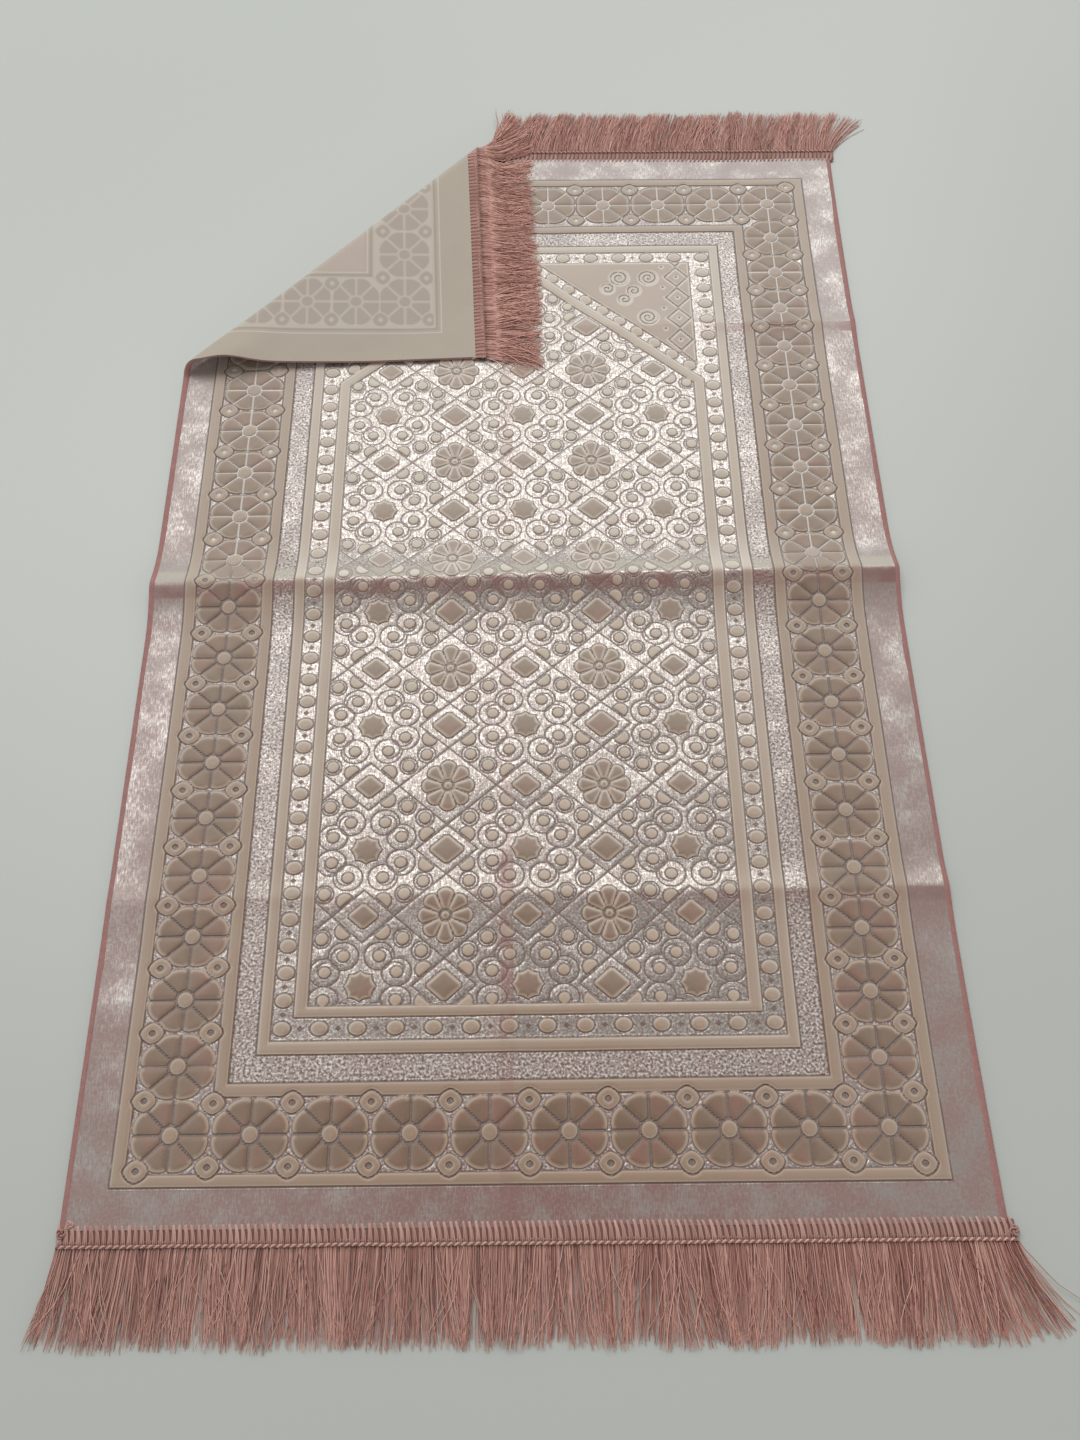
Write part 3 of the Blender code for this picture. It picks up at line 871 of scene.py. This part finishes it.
def fringe_yarns(name, end, finish, seed):
    """Fine yarns that lie as the solid's locks do, in loose clumps, with strays on top."""
    chance = np.random.default_rng(seed)
    left, right = heading_span(0.0006)
    u = np.linspace(left, right, YARNS) + chance.uniform(-YARN_JITTER, YARN_JITTER, YARNS)
    layer = chance.uniform(0, 1, YARNS)
    stray = chance.uniform(0, 1, YARNS) < STRAY_SHARE
    layer = np.where(stray, 1.0, layer)
    v = np.full_like(u, end * (HALF_LENGTH + HEADING_WIDTH - YARN_SEAM))
    w = YARN_LOW + YARN_LAYERS * layer
    start = lay_at(u, v, w)
    ahead = lay_at(u, v + end * SMALL, w) - start
    beside = lay_at(u + SMALL, v, w) - start
    heading = unit(ahead * (1, 1, 0))
    sideways = np.stack((-heading[:, 1], heading[:, 0], np.zeros_like(u)), axis=-1)
    sideways *= np.sign(np.sum(sideways * beside, axis=-1, keepdims=True) + 1e-15)
    from_start, from_end = past_fold(u, v)
    folded = (end > 0) & (from_start > 0)
    flap = (end > 0) & (from_end > 0)
    drift = yarn_drift(end, u, flap, stray, chance, seed)
    length = yarn_length(u, flap, chance, seed)
    forward = np.sqrt(np.maximum(length ** 2 - drift ** 2, 0.02 ** 2))
    part = np.linspace(0, 1, YARN_PLACES)[None, :]
    wave_size = np.where(flap, FLAP_WAVE, np.where(stray, STRAY_WAVE, PLAIN_WAVE))
    waves = chance.uniform(0.8, 1.9, len(u))[:, None] * part
    waves = np.sin(math.tau * (waves + chance.uniform(0, 1, len(u))[:, None]))
    side = drift[:, None] * part ** LOCK_CURVE + waves * (wave_size[:, None] * part)
    course = (start[:, None] + heading[:, None] * (forward[:, None] * part)[..., None]
              + sideways[:, None] * side[..., None])
    ground = crease_height(course[..., 0] - SHIFT_X, course[..., 1] - SHIFT_Y)
    on_cloth = np.where(flap, REST_ON_FLAP, np.where(folded, REST_ON_ROLL, 0.0))[:, None]
    thick = REST_ROOT - REST_TIP_LESS * part
    rest = REST_LOW + ground + on_cloth + layer[:, None] * thick
    fall_over = np.where(folded, FOLDED_FALL, FLAT_FALL)[:, None]
    fall = ease(np.clip(part * length[:, None] / fall_over, 0, 1))
    course[..., 2] = start[:, 2:3] + (rest - start[:, 2:3]) * fall
    course[..., 2] += np.where(stray, STRAY_LIFT, 0)[:, None] * np.sin(math.pi * part)
    radii = YARN_ROOT + (YARN_TIP - YARN_ROOT) * part ** 1.5
    radii = np.broadcast_to(radii, course.shape[:2]) * chance.uniform(0.8, 1.2, (len(u), 1))
    course[..., 2] = np.maximum(course[..., 2], radii + YARN_FLOOR)
    tones = np.clip(chance.normal(0.5, 0.30, len(u)) + 0.15 * wander(u, 0.014, seed + 6), 0, 1)
    return tube_mesh(name, course, radii, YARN_SIDES, finish, tones)


HEADING_SECTION = ((-0.0010, 0.0022), (0.0015, 0.0026), (0.0062, 0.0027), (0.0122, 0.0025),
                   (0.0129, 0.0017), (0.0122, 0.0010), (0.0062, 0.0009), (0.0012, 0.0009))
HEADING_PLACES = 420
BUNDLE_PITCH = 0.0046
BUNDLE_STRANDS = (-1, 0, 1)
BUNDLE_SPREAD = 0.00135
BUNDLE_RADIUS = 0.00062
BUNDLE_LEAN, BUNDLE_HOOK, BUNDLE_JITTER = 0.0006, -0.0016, 0.0003
DRAWN_TOGETHER = 0.62
MIDDLE_STRAND_LIFT = 0.00018
ROPE_PITCH = 0.0050
ROPE_TURN_PLACES = 6
ROPE_WIDE, ROPE_HIGH = 0.00065, 0.00055
ROPE_RADIUS = 0.00080
ROPE_TONES = (0.15, 0.85)
FACE_CHAIN = (0.0126, 0.0038)
BACK_CHAIN = (0.0096, 0.0016)


def heading_span(inset):
    return LEFT_EDGE + inset, RIGHT_EDGE + HEADING_OVERHANG - inset


def heading_strip(name, end, finish):
    """The strip of tape that the fringe hangs from, under its stitches."""
    section = np.array(HEADING_SECTION)
    left, right = heading_span(0.0002)
    across = np.linspace(left, right, HEADING_PLACES)
    laid = lay_at(across[:, None], end * (HALF_LENGTH + section[:, 0]), section[:, 1])
    laid = np.concatenate((laid, laid[:, :1]), axis=1)
    around = len(section) + 1
    plain = np.zeros(laid.shape[:2])
    return add_mesh(name, laid, grid_faces(len(across), around, upward=end > 0), finish,
                    facts={"tone": plain, "run": plain}, spots=section_spots(across, around))


def bundle_stitches(name, end, finish, seed):
    """Stitches over the heading, drawn together and hooked to one side at its inner edge."""
    chance = np.random.default_rng(seed)
    left, right = heading_span(0.0024)
    middles = np.linspace(left, right, int((right - left) / BUNDLE_PITCH))
    loop = np.array(STITCH_LOOP)
    courses, tones = [], []
    for middle in middles:
        lean = BUNDLE_LEAN + chance.normal(0, BUNDLE_JITTER)
        tone = chance.normal(0.5, 0.10)
        hook = chance.normal(BUNDLE_HOOK, BUNDLE_JITTER)
        for strand in BUNDLE_STRANDS:
            spread = strand * BUNDLE_SPREAD * (1 - DRAWN_TOGETHER * loop[:, 2])
            u = middle + spread + lean * (0.5 - loop[:, 2]) + hook * loop[:, 2] ** 4
            v = end * (HALF_LENGTH + loop[:, 0] + chance.normal(0, 0.00020))
            lift = MIDDLE_STRAND_LIFT if strand == 0 else 0
            w = loop[:, 1] + lift * np.sign(loop[:, 1] - CLOTH_THICK / 2)
            courses.append(np.stack((u, v, w), axis=-1))
            tones.append(np.clip(tone + chance.normal(0, 0.10), 0, 1))
    flat = np.array(courses)
    laid = lay(flat)
    beside = unit(lay(flat + (SMALL, 0, 0)) - laid)
    return tube_mesh(name, laid, BUNDLE_RADIUS, YARN_SIDES, finish, tones, across=beside)


# Places round one stitch: past the cloth's end, up, and how far it is drawn together.
STITCH_LOOP = ((0.0118, 0.0030, 0.0), (0.0080, 0.0034, 0.30), (0.0035, 0.0035, 0.65),
               (-0.0008, 0.0034, 0.95), (-0.0024, 0.0025, 1.0), (-0.0012, 0.0011, 1.0),
               (0.0030, 0.0009, 0.7), (0.0078, 0.0009, 0.35), (0.0122, 0.0009, 0.0))


def rope(name, end, place, finish):
    """The chain stitch beside the fringe: two strands twisted together."""
    out, level = place
    left, right = heading_span(0.0004)
    turns = (right - left) / ROPE_PITCH
    u = np.linspace(left, right, int(turns * ROPE_TURN_PLACES))
    courses = []
    for strand in (0.0, 0.5):
        angle = math.tau * ((u - left) / ROPE_PITCH + strand)
        v = end * (HALF_LENGTH + out + ROPE_WIDE * np.cos(angle) + 0.0004 * wander(u, 0.02, 31))
        w = level + ROPE_HIGH * np.sin(angle)
        courses.append(lay_at(u, v, w))
    return tube_mesh(name, np.array(courses), ROPE_RADIUS, 4, finish, ROPE_TONES)


Knot = namedtuple("Knot", "u v size turn")
KNOTS = (
    Knot(-0.3455, -0.5590, 0.0011, 0.4),
    Knot(-0.3400, -0.5530, 0.0008, 2.1),
    Knot(0.3535, -0.5625, 0.0012, 1.2),
)
KNOT_PLACES = 60
KNOT_RADIUS = 0.00075
KNOT_TONES = (0.3, 0.6, 0.4)


def corner_knots(name, finish):
    """The small knots in which the heading's sewing thread ends at the near corners."""
    around = np.linspace(0, math.tau, KNOT_PLACES)
    courses = []
    for knot in KNOTS:
        far = (np.cos(3 * around) + 2.0) * knot.size
        u = knot.u + far * np.cos(2 * around + knot.turn)
        v = knot.v + far * np.sin(2 * around + knot.turn)
        w = 0.0042 - 0.7 * knot.size * np.sin(3 * around)
        courses.append(lay_at(u, v, w))
    return tube_mesh(name, np.array(courses), KNOT_RADIUS, 5, finish, KNOT_TONES)


# ---- materials ----

class Maker:
    """Adds nodes to the shader of a material or of the world."""

    def __init__(self, owner, shader="Principled BSDF"):
        owner.use_nodes = True
        self.owner = owner
        self.tree = owner.node_tree
        self.shader = self.tree.nodes[shader]

    def node(self, kind, **settings):
        made = self.tree.nodes.new("ShaderNode" + kind)
        for setting, value in settings.items():
            setattr(made, setting, value)
        return made

    def source(self, kind, output, **settings):
        """What a node without inputs gives out."""
        return Wire(self.node(kind, **settings).outputs[output])

    def fact(self, name, output="Fac"):
        return self.source("Attribute", output, attribute_name=name)

    def rug_place(self):
        """The flat place in millimetres, whole and as x and y."""
        place = self.fact("rug_mm", "Vector")
        return [place] + self.split(place)[:2]

    def split(self, vector):
        made = self.node("SeparateXYZ")
        plug(vector, made.inputs[0])
        return [Wire(output) for output in made.outputs]

    def join(self, x, y):
        made = self.node("CombineXYZ")
        for value, slot in zip((x, y), made.inputs):
            plug(value, slot)
        return Wire(made.outputs[0])

    def noise(self, place, length, detail=2.0, roughness=0.5):
        """Noise from 0 to 1 with about one lump in each length."""
        made = self.node("TexNoise")
        plug(place, made.inputs["Vector"])
        made.inputs["Scale"].default_value = 1.0 / length
        made.inputs["Detail"].default_value = detail
        made.inputs["Roughness"].default_value = roughness
        return Wire(made.outputs["Fac"])

    def colours(self, share, first, second):
        """The first colour at share 0 and the second at 1."""
        made = self.node("Mix", data_type="RGBA")
        plug(share, made.inputs["Factor"])
        plug(first, made.inputs[6])
        plug(second, made.inputs[7])
        return Wire(made.outputs[2])

    def washes(self, colour, *layers):
        """The colour under layers of a share and a colour, the last on top."""
        for share, wash in layers:
            colour = self.colours(share, colour, wash)
        return colour

    def darker(self, colour, factor):
        """The colour times a number."""
        made = self.node("VectorMath", operation="SCALE")
        plug(colour, made.inputs[0])
        plug(factor, made.inputs["Scale"])
        return Wire(made.outputs[0])

    def bump(self, height, depth):
        """Fine relief: height from 0 to 1 stands for depth metres."""
        made = self.node("Bump")
        plug(height, made.inputs["Height"])
        made.inputs["Distance"].default_value = depth
        made.inputs["Strength"].default_value = 1.0
        return Wire(made.outputs["Normal"])

    def finish(self, **inputs):
        for name, value in inputs.items():
            plug(value, self.shader.inputs[name.replace("_", " ")])
        return self.owner


def new_material(name):
    return Maker(bpy.data.materials.new(name))


def rgb(red, green, blue):
    """An sRGB colour from 0 to 255 as linear light."""
    parts = []
    for value in (red, green, blue):
        value /= 255
        parts.append(value / 12.92 if value <= 0.04045 else ((value + 0.055) / 1.055) ** 2.4)
    return (*parts, 1.0)


VELVET_RIM = rgb(184, 155, 132)
VELVET_MIDDLE = rgb(131, 104, 83)
VELVET_ROSE = rgb(145, 103, 87)
# The sheen colours and the two pale yarn colours below are painted sheen, mixed into the base
# colour where a surface is seen from the side; the field's pale yarn is also the speckled band's
# own paler tint.
VELVET_SHEEN = rgb(202, 191, 177)
BASE_YARN = rgb(150, 111, 105)
YARN_SHEEN = rgb(189, 179, 173)
FIELD_YARN_AND_SHEEN = rgb(208, 199, 191)
BRIGHT_YARN = rgb(211, 214, 208)
FIELD_BRIGHT = rgb(199, 200, 192)
WORM_GREY = rgb(120, 104, 96)
GLINT = rgb(230, 224, 217)
FIELD_SHEEN = rgb(236, 229, 216)
# Painted shade in the engraved lines and pits, and the painted reflection that takes its place in
# the far half.
GROOVE_SHADE = rgb(100, 74, 62)
GROOVE_REFLECTION = rgb(244, 236, 226)
# Painted shade on the creases' near sides, and painted highlight on their far sides.
CREASE_SHADE_ROSE = rgb(146, 104, 98)
CREASE_HIGHLIGHT = rgb(204, 198, 182)
BACK_PLAIN = rgb(188, 178, 163)
BACK_LIGHT = rgb(204, 193, 180)
BACK_PINK = rgb(200, 184, 174)
BACK_DARK = rgb(174, 163, 152)
BACK_PALE = rgb(216, 207, 195)


# Where painted shade and highlight show along each crease: the shade band's width, where along the
# crease it starts and ends, its strength at those two ends, and the highlight's strength.
CreaseLight = namedtuple("CreaseLight", "width start end low high pale")
CREASE_LIGHT = (
    CreaseLight(13.0, -350.0, 350.0, 1.0, 1.0, 1.0),
    CreaseLight(11.0, 60.0, 260.0, 0.20, 0.60, 0.2),
    CreaseLight(10.0, 160.0, 290.0, 0.15, 1.0, 0.3),
    CreaseLight(9.0, -330.0, -200.0, 1.0, 0.22, 0.0),
)


def crease_shade_and_highlight(x, y):
    """How strongly the painted shade on the creases' near sides and the painted highlight on their
    far sides show.
    """
    crease_shade, pale = 0.0, 0.0
    for crease, crease_lighting in zip(CREASES, CREASE_LIGHT):
        run, across = (y - PATTERN_START, x) if crease.lengthwise else (x, y - PATTERN_START)
        offset = across - run * crease.tilt - crease.at * 1000
        strength = soft_step(run, crease_lighting.start, crease_lighting.end) * (crease_lighting.high - crease_lighting.low) + crease_lighting.low
        band = soft_step(offset, -crease_lighting.width - 3.0, -crease_lighting.width) * 0.7
        band = lesser(band + soft_step(offset, -32.0, -8.0) * 0.3, soft_step(offset, 1.0, -0.8))
        crease_shade = greater(crease_shade, band * strength)
        if crease_lighting.pale:
            far = lesser(soft_step(offset, 0.6, 2.0), soft_step(offset, 17.0, 12.0))
            pale = greater(pale, far * crease_lighting.pale)
    return crease_shade, pale


def pile_material():
    make = new_material("carved_pile")
    place, x, y = make.rug_place()
    side = size_of(x)
    depth, line, pit, blossom = carving(side, y)
    velvet = soft_step(depth, -0.4, 0.4)
    sunk = soft_step(pit, -0.5, 0.5)

    fleck = make.noise(place, 3.4, 3.0, 0.7)
    cloud = make.noise(place, 30.0)
    threads = make.noise(make.join(x * 1.1, y * 0.14), 1.0)
    pile = make.noise(place, 1.1)
    grain = make.noise(place, 2.1, 1.0)
    swell = make.noise(make.join(x, y * 0.7), 42.0, 1.0)

    # The engraved lines: round each motif and in the ground. Their dark colour, and that of the
    # pits, is painted shade in these cuts, and a painted reflection makes them paler round the far
    # flowers.
    outline = soft_step(size_of(depth + 0.7), 1.1, 0.25)
    outline = greater(outline, soft_step(line, 1.05, 0.35) * (1 - velvet))
    around = soft_step(size_of(blossom + 1.1), 2.0, 1.0)
    far_half = soft_step(y + cloud * 90.0, 505.0, 590.0)
    outline = outline * (1 - around * (0.62 - far_half * 0.45))
    engraved = greater(outline * 0.92, sunk)

    # Painted shade on the creases' near sides and painted highlight on their far sides, in patches.
    crease_shade, crest = crease_shade_and_highlight(x, y)
    crease_shade = crease_shade * (soft_step(cloud, 0.36, 0.62) * 0.65 + threads * 0.5)
    crest = crest * (0.35 + cloud * 0.6 + fleck * 0.25)

    speckled = lesser(inside(side, y, INNER_GUARD[1]), -inside(side, y, MIDDLE_GUARD[0]))
    speckled = soft_step(speckled, 0.0, 0.8)
    in_field = soft_step(inside(side, y, MIDDLE_GUARD[0]), 0.0, 1.0)
    in_border = soft_step(inside(side, y, OUTER_GUARD[0]), 0.0, 1.0)
    in_border = in_border * (1 - in_field) * (1 - speckled)

    # The velvet: a paler rim, a deeper middle, and a painted sheen of the nap, a paler colour mixed
    # in where it is seen from the side.
    petal = soft_step(blossom, 0.6, 4.2) * soft_step(blossom, 19.6, 18.8)
    petal = petal * soft_step(inside(side, y, OUTER_GUARD[1]), -0.5, 0.5)
    deep = greater(soft_step(depth, 0.5, 3.4), petal * in_border)
    middle = make.colours(soft_step(cloud, 0.45, 0.70), VELVET_MIDDLE, VELVET_ROSE)
    velvet_colour = make.colours(deep, VELVET_RIM, middle)
    velvet_colour = make.darker(velvet_colour, pile * 0.30 + 0.86)
    # Painted sheen: how much the surface is seen from the side, from the Layer Weight's facing.
    painted_sheen = lesser(root(make.source("LayerWeight", "Facing")) * 1.5, 1.0)
    sheen_colour = make.colours(in_field, VELVET_SHEEN, FIELD_SHEEN)
    velvet_colour = make.colours(painted_sheen * (0.94 - deep * 0.42), velvet_colour, sheen_colour)
    # Painted reflection: the grooves round the border's flowers and the pits turn pale, mostly in
    # the far half.
    pale = blend(0.08, 0.95, far_half) * greater(soft_step(blossom, -0.2, 0.5), sunk)
    pale = pale * in_border
    groove_shade_and_reflection = make.colours(pale, GROOVE_SHADE, GROOVE_REFLECTION)
    # The painted shade in the cuts fades where the surface is seen from the side.
    engraved = engraved * (1 - painted_sheen * (in_field * 0.42 + 0.13))

    # The ground: satin threads that glitter in patches and flecks.
    shimmer = threads * 0.5 + fleck * 0.5
    hem_shimmer = threads * 0.36 + fleck * 0.26 + cloud * 0.38
    worms = soft_step(size_of(fleck - 0.5), 0.012, 0.060)
    glitter = blend(soft_step(hem_shimmer, 0.43, 0.76), soft_step(shimmer, 0.33, 0.66), in_field)
    glitter = glitter * (1 - (1 - worms) * (in_field * 0.30 + speckled * 0.70))
    glitter = glitter * (1 - greater(crease_shade, crest) * 0.8)
    # Painted sheen on the ground: its yarn turns paler where it is seen from the side.
    yarn_sheen = make.colours(in_field, YARN_SHEEN, FIELD_YARN_AND_SHEEN)
    base_colour = make.colours(painted_sheen * 0.85, BASE_YARN, yarn_sheen)
    bright_colour = make.colours(in_field, BRIGHT_YARN, FIELD_BRIGHT)
    flecked = speckled * 0.85 + in_field * 0.30 + 0.08
    rim_light = soft_step(size_of(depth + 1.7), 1.6, 0.4) * soft_step(grain, 0.47, 0.58)
    rim_light = rim_light * (in_border + in_field * 0.7)
    # Among the layers below, the crease colours are a painted highlight and a painted shade, and
    # the groove colour is painted shade and reflection.
    colour = make.washes(
        base_colour,
        (glitter, bright_colour),
        ((1 - worms) * in_field * 0.36, WORM_GREY),
        (speckled * 0.30, FIELD_YARN_AND_SHEEN),
        (soft_step(grain, 0.46, 0.36) * flecked, WORM_GREY),
        (soft_step(grain, 0.53, 0.63) * flecked, GLINT),
        (rim_light * 0.75, GLINT),
        (crest * 0.85, CREASE_HIGHLIGHT),
        (velvet, velvet_colour),
        (engraved * 0.85, groove_shade_and_reflection),
        (crease_shade * (0.78 - velvet * 0.46), CREASE_SHADE_ROSE))

    # Fine relief, from the depths kept in the mesh.
    shine = glitter * (1 - velvet) * (1 - engraved * 0.75)
    kept_depth, kept_line = make.fact("velvet_depth"), make.fact("line_reach")
    raised = soft_step(kept_depth, -0.4, 0.4)
    kept_cut = soft_step(kept_line, 1.1, 0.3) * (1 - raised)
    cut = greater(soft_step(size_of(kept_depth + 0.8), 1.1, 0.2), kept_cut)
    dome = soft_step(kept_depth, 0.0, 5.0) * (0.25 - in_field * 0.15)
    height = raised * (0.55 - in_field * 0.27) + dome - cut * (0.30 - in_field * 0.12)
    height = height + swell * 1.3 + pile * (raised * 0.08 + 0.01) + grain * speckled * 0.14
    height = height + fleck * (1 - raised) * (in_field * 0.08 + 0.02)
    normal = make.bump(height, 0.0011)
    matte = greater(velvet, engraved)
    return make.finish(Base_Color=colour, Metallic=shine, Normal=normal,
                       Roughness=blend(cloud * 0.10 + 0.26, 0.68, matte),
                       Sheen_Weight=0.3, Sheen_Roughness=0.5)


def back_material():
    make = new_material("plain_back")
    place, x, y = make.rug_place()
    side = size_of(x)
    depth, _, _, _ = carving(side, y)
    guards = most(stripe(side, y, OUTER_GUARD), stripe(side, y, INNER_GUARD),
                  stripe(side, y, MIDDLE_GUARD))
    from_outer = inside(side, y, OUTER_GUARD[0])
    from_inner = inside(side, y, INNER_GUARD[0])
    soft = make.noise(place, 26.0)
    weave = make.noise(make.join(x * 1.2, y * 0.5), 0.8, 1.0)
    in_band = soft_step(from_outer, 6.0, 9.0) * soft_step(from_inner, 3.0, -1.0)
    ghost = soft_step(depth, -1.2, 1.6) * soft_step(guards, 0.6, -0.6)
    shade = greater(line_at(from_outer, 5.6, 1.6), line_at(from_inner, 2.6, 1.6))
    pale = greater(line_at(from_outer, 1.0, 1.2), line_at(from_inner, 6.6, 1.2))
    colour = make.washes(
        BACK_PLAIN,
        (in_band, BACK_LIGHT),
        (soft_step(from_inner, 6.0, 9.0) * 0.7, BACK_PINK),
        (ghost * (0.58 + soft * 0.30), BACK_DARK),
        (shade * 0.75, BACK_DARK),
        (pale * 0.70, BACK_PALE))
    colour = make.darker(colour, weave * 0.08 + soft * 0.08 + 0.92)
    height = weave * 0.5 + pale * 0.3 - shade * 0.3 - ghost * 0.15
    return make.finish(Base_Color=colour, Roughness=0.86, Sheen_Weight=0.05,
                       Normal=make.bump(height, 0.0004))


def line_at(distance, place, half_width):
    """A soft line where the distance is near the place."""
    return soft_step(size_of(distance - place), half_width, half_width * 0.35)


YARN_DARK = rgb(168, 110, 98)
YARN_LIGHT = rgb(244, 194, 178)
STITCH_DARK = rgb(170, 124, 113)
STITCH_LIGHT = rgb(240, 194, 181)
CHAIN_DARK = rgb(132, 86, 76)
BINDING_DARK = rgb(128, 82, 78)
BINDING_LIGHT = rgb(206, 156, 150)


def yarn_material(name, dark, light, root_shade):
    """Yarn with painted shade where it leaves its seam, and a little lighter at its tip."""
    make = new_material(name)
    tone, run = make.fact("tone"), make.fact("run")
    colour = make.colours(tone, dark, light)
    # Painted shade at the yarn's root.
    colour = make.darker(colour, soft_step(run, 0.0, 0.11) * (1 - root_shade) + root_shade)
    colour = make.darker(colour, run * 0.16 + 0.90)
    return make.finish(Base_Color=colour, Roughness=0.78 - run * 0.1,
                       Sheen_Weight=0.25, Sheen_Roughness=0.4)


def overlock_material():
    make = new_material("overlock_yarn")
    place, x, y = make.rug_place()
    strands = make.noise(make.join(x * 0.4, y * 2.2), 1.0)
    tint = make.noise(place, 7.0)
    colour = make.colours(strands * 0.7 + tint * 0.3, BINDING_DARK, BINDING_LIGHT)
    return make.finish(Base_Color=colour, Roughness=0.8,
                       Normal=make.bump(strands, 0.0003))


def floor_material():
    make = new_material("pale_floor")
    cloud = make.noise(make.source("TexCoord", "Object"), 0.9)
    colour = make.colours(cloud, rgb(199, 204, 198), rgb(205, 209, 204))
    return make.finish(Base_Color=colour, Roughness=0.38)


# ---- stage ----

ROOM_WALLS = (1.56, 1.63, 1.61, 1.0)
ROOM_CEILING = (0.42, 0.39, 0.38, 1.0)
ROOM_STRENGTH = 0.50
CEILING_FROM, CEILING_TO = 0.18, 0.72
FLOOR_HALF = 4.0
PANEL_PLACE = (-0.50, 2.95, 4.50)
PANEL_TARGET = (0.0, 0.05, 0.0)
PANEL_SIZE = (6.4, 3.3)
PANEL_POWER = 204.0
PANEL_ROLL = 9.0
SENSOR_WIDTH = 36.0
LENS = 28.75
CAMERA_PLACE = (-0.0076, -0.5687, 0.9307)
CAMERA_TURN = (24.571, 0.006, -0.795)


def add_floor():
    data = bpy.data.meshes.new("floor")
    corners = [(x * FLOOR_HALF, y * FLOOR_HALF, 0) for x, y in ((-1, -1), (1, -1), (1, 1), (-1, 1))]
    data.from_pydata(corners, [], [(0, 1, 2, 3)])
    data.materials.append(floor_material())
    add_object("floor", data)


def add_panel():
    """The large soft light past the rug's far end."""
    light = bpy.data.lights.new("far_panel", "AREA")
    light.shape = "RECTANGLE"
    light.size, light.size_y = PANEL_SIZE
    light.energy = PANEL_POWER
    lamp = add_object("far_panel", light)
    lamp.location = PANEL_PLACE
    aim = Vector(PANEL_TARGET) - Vector(PANEL_PLACE)
    turn = aim.to_track_quat("-Z", "Y") @ Quaternion((0, 0, 1), math.radians(PANEL_ROLL))
    lamp.rotation_euler = turn.to_euler()
    lamp.visible_camera = False


def add_camera():
    data = bpy.data.cameras.new("camera")
    data.sensor_width = SENSOR_WIDTH
    data.lens = LENS
    data.clip_start, data.clip_end = 0.01, 50.0
    camera = add_object("camera", data)
    camera.location = CAMERA_PLACE
    camera.rotation_euler = [math.radians(angle) for angle in CAMERA_TURN]
    bpy.context.scene.camera = camera


def add_room():
    """Even light from pale walls and a darker ceiling."""
    make = Maker(bpy.data.worlds.new("soft_room"), "Background")
    height = make.split(make.source("TexCoord", "Generated"))[2]
    colour = make.colours(soft_step(height, CEILING_FROM, CEILING_TO), ROOM_WALLS, ROOM_CEILING)
    bpy.context.scene.world = make.finish(Color=colour, Strength=ROOM_STRENGTH)


# ---- the rug ----

bpy.context.scene.view_settings.view_transform = "Standard"
add_camera()
add_floor()
add_room()
add_panel()

pile_finish = pile_material()
back_finish = back_material()
fringe_finish = yarn_material("fringe_yarn", YARN_DARK, YARN_LIGHT, 0.60)
stitch_finish = yarn_material("stitch_yarn", STITCH_DARK, STITCH_LIGHT, 0.70)
chain_finish = yarn_material("chain_yarn", CHAIN_DARK, STITCH_LIGHT, 1.0)
binding_finish = overlock_material()

pile = carved_pile(pile_finish)
back = cloth_back(back_finish)
left_binding = overlock("overlock_left", LEFT_EDGE, 1, binding_finish)
right_binding = overlock("overlock_right", RIGHT_EDGE, -1, binding_finish)
fringes = {}
for side_name, end, seed in (("near", -1, 100), ("far", 1, 200)):
    fringes[side_name] = [
        fringe_yarns("yarns_" + side_name, end, fringe_finish, seed),
        heading_strip("heading_" + side_name, end, stitch_finish),
        bundle_stitches("stitches_" + side_name, end, stitch_finish, seed + 20),
        rope("chain_face_" + side_name, end, FACE_CHAIN, chain_finish),
        rope("chain_back_" + side_name, end, BACK_CHAIN, chain_finish),
    ]

fringes["near"].append(corner_knots("knots_near", chain_finish))

for piece in pile + [back]:
    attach(piece, "root")
for piece in (left_binding, right_binding):
    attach(piece, "root")
for pieces in fringes.values():
    for piece in pieces:
        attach(piece, "root")

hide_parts("rug_cloth")
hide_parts("side_binding_left")
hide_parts("side_binding_right")
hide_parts("fringe_near_end")
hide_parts("fringe_far_end")
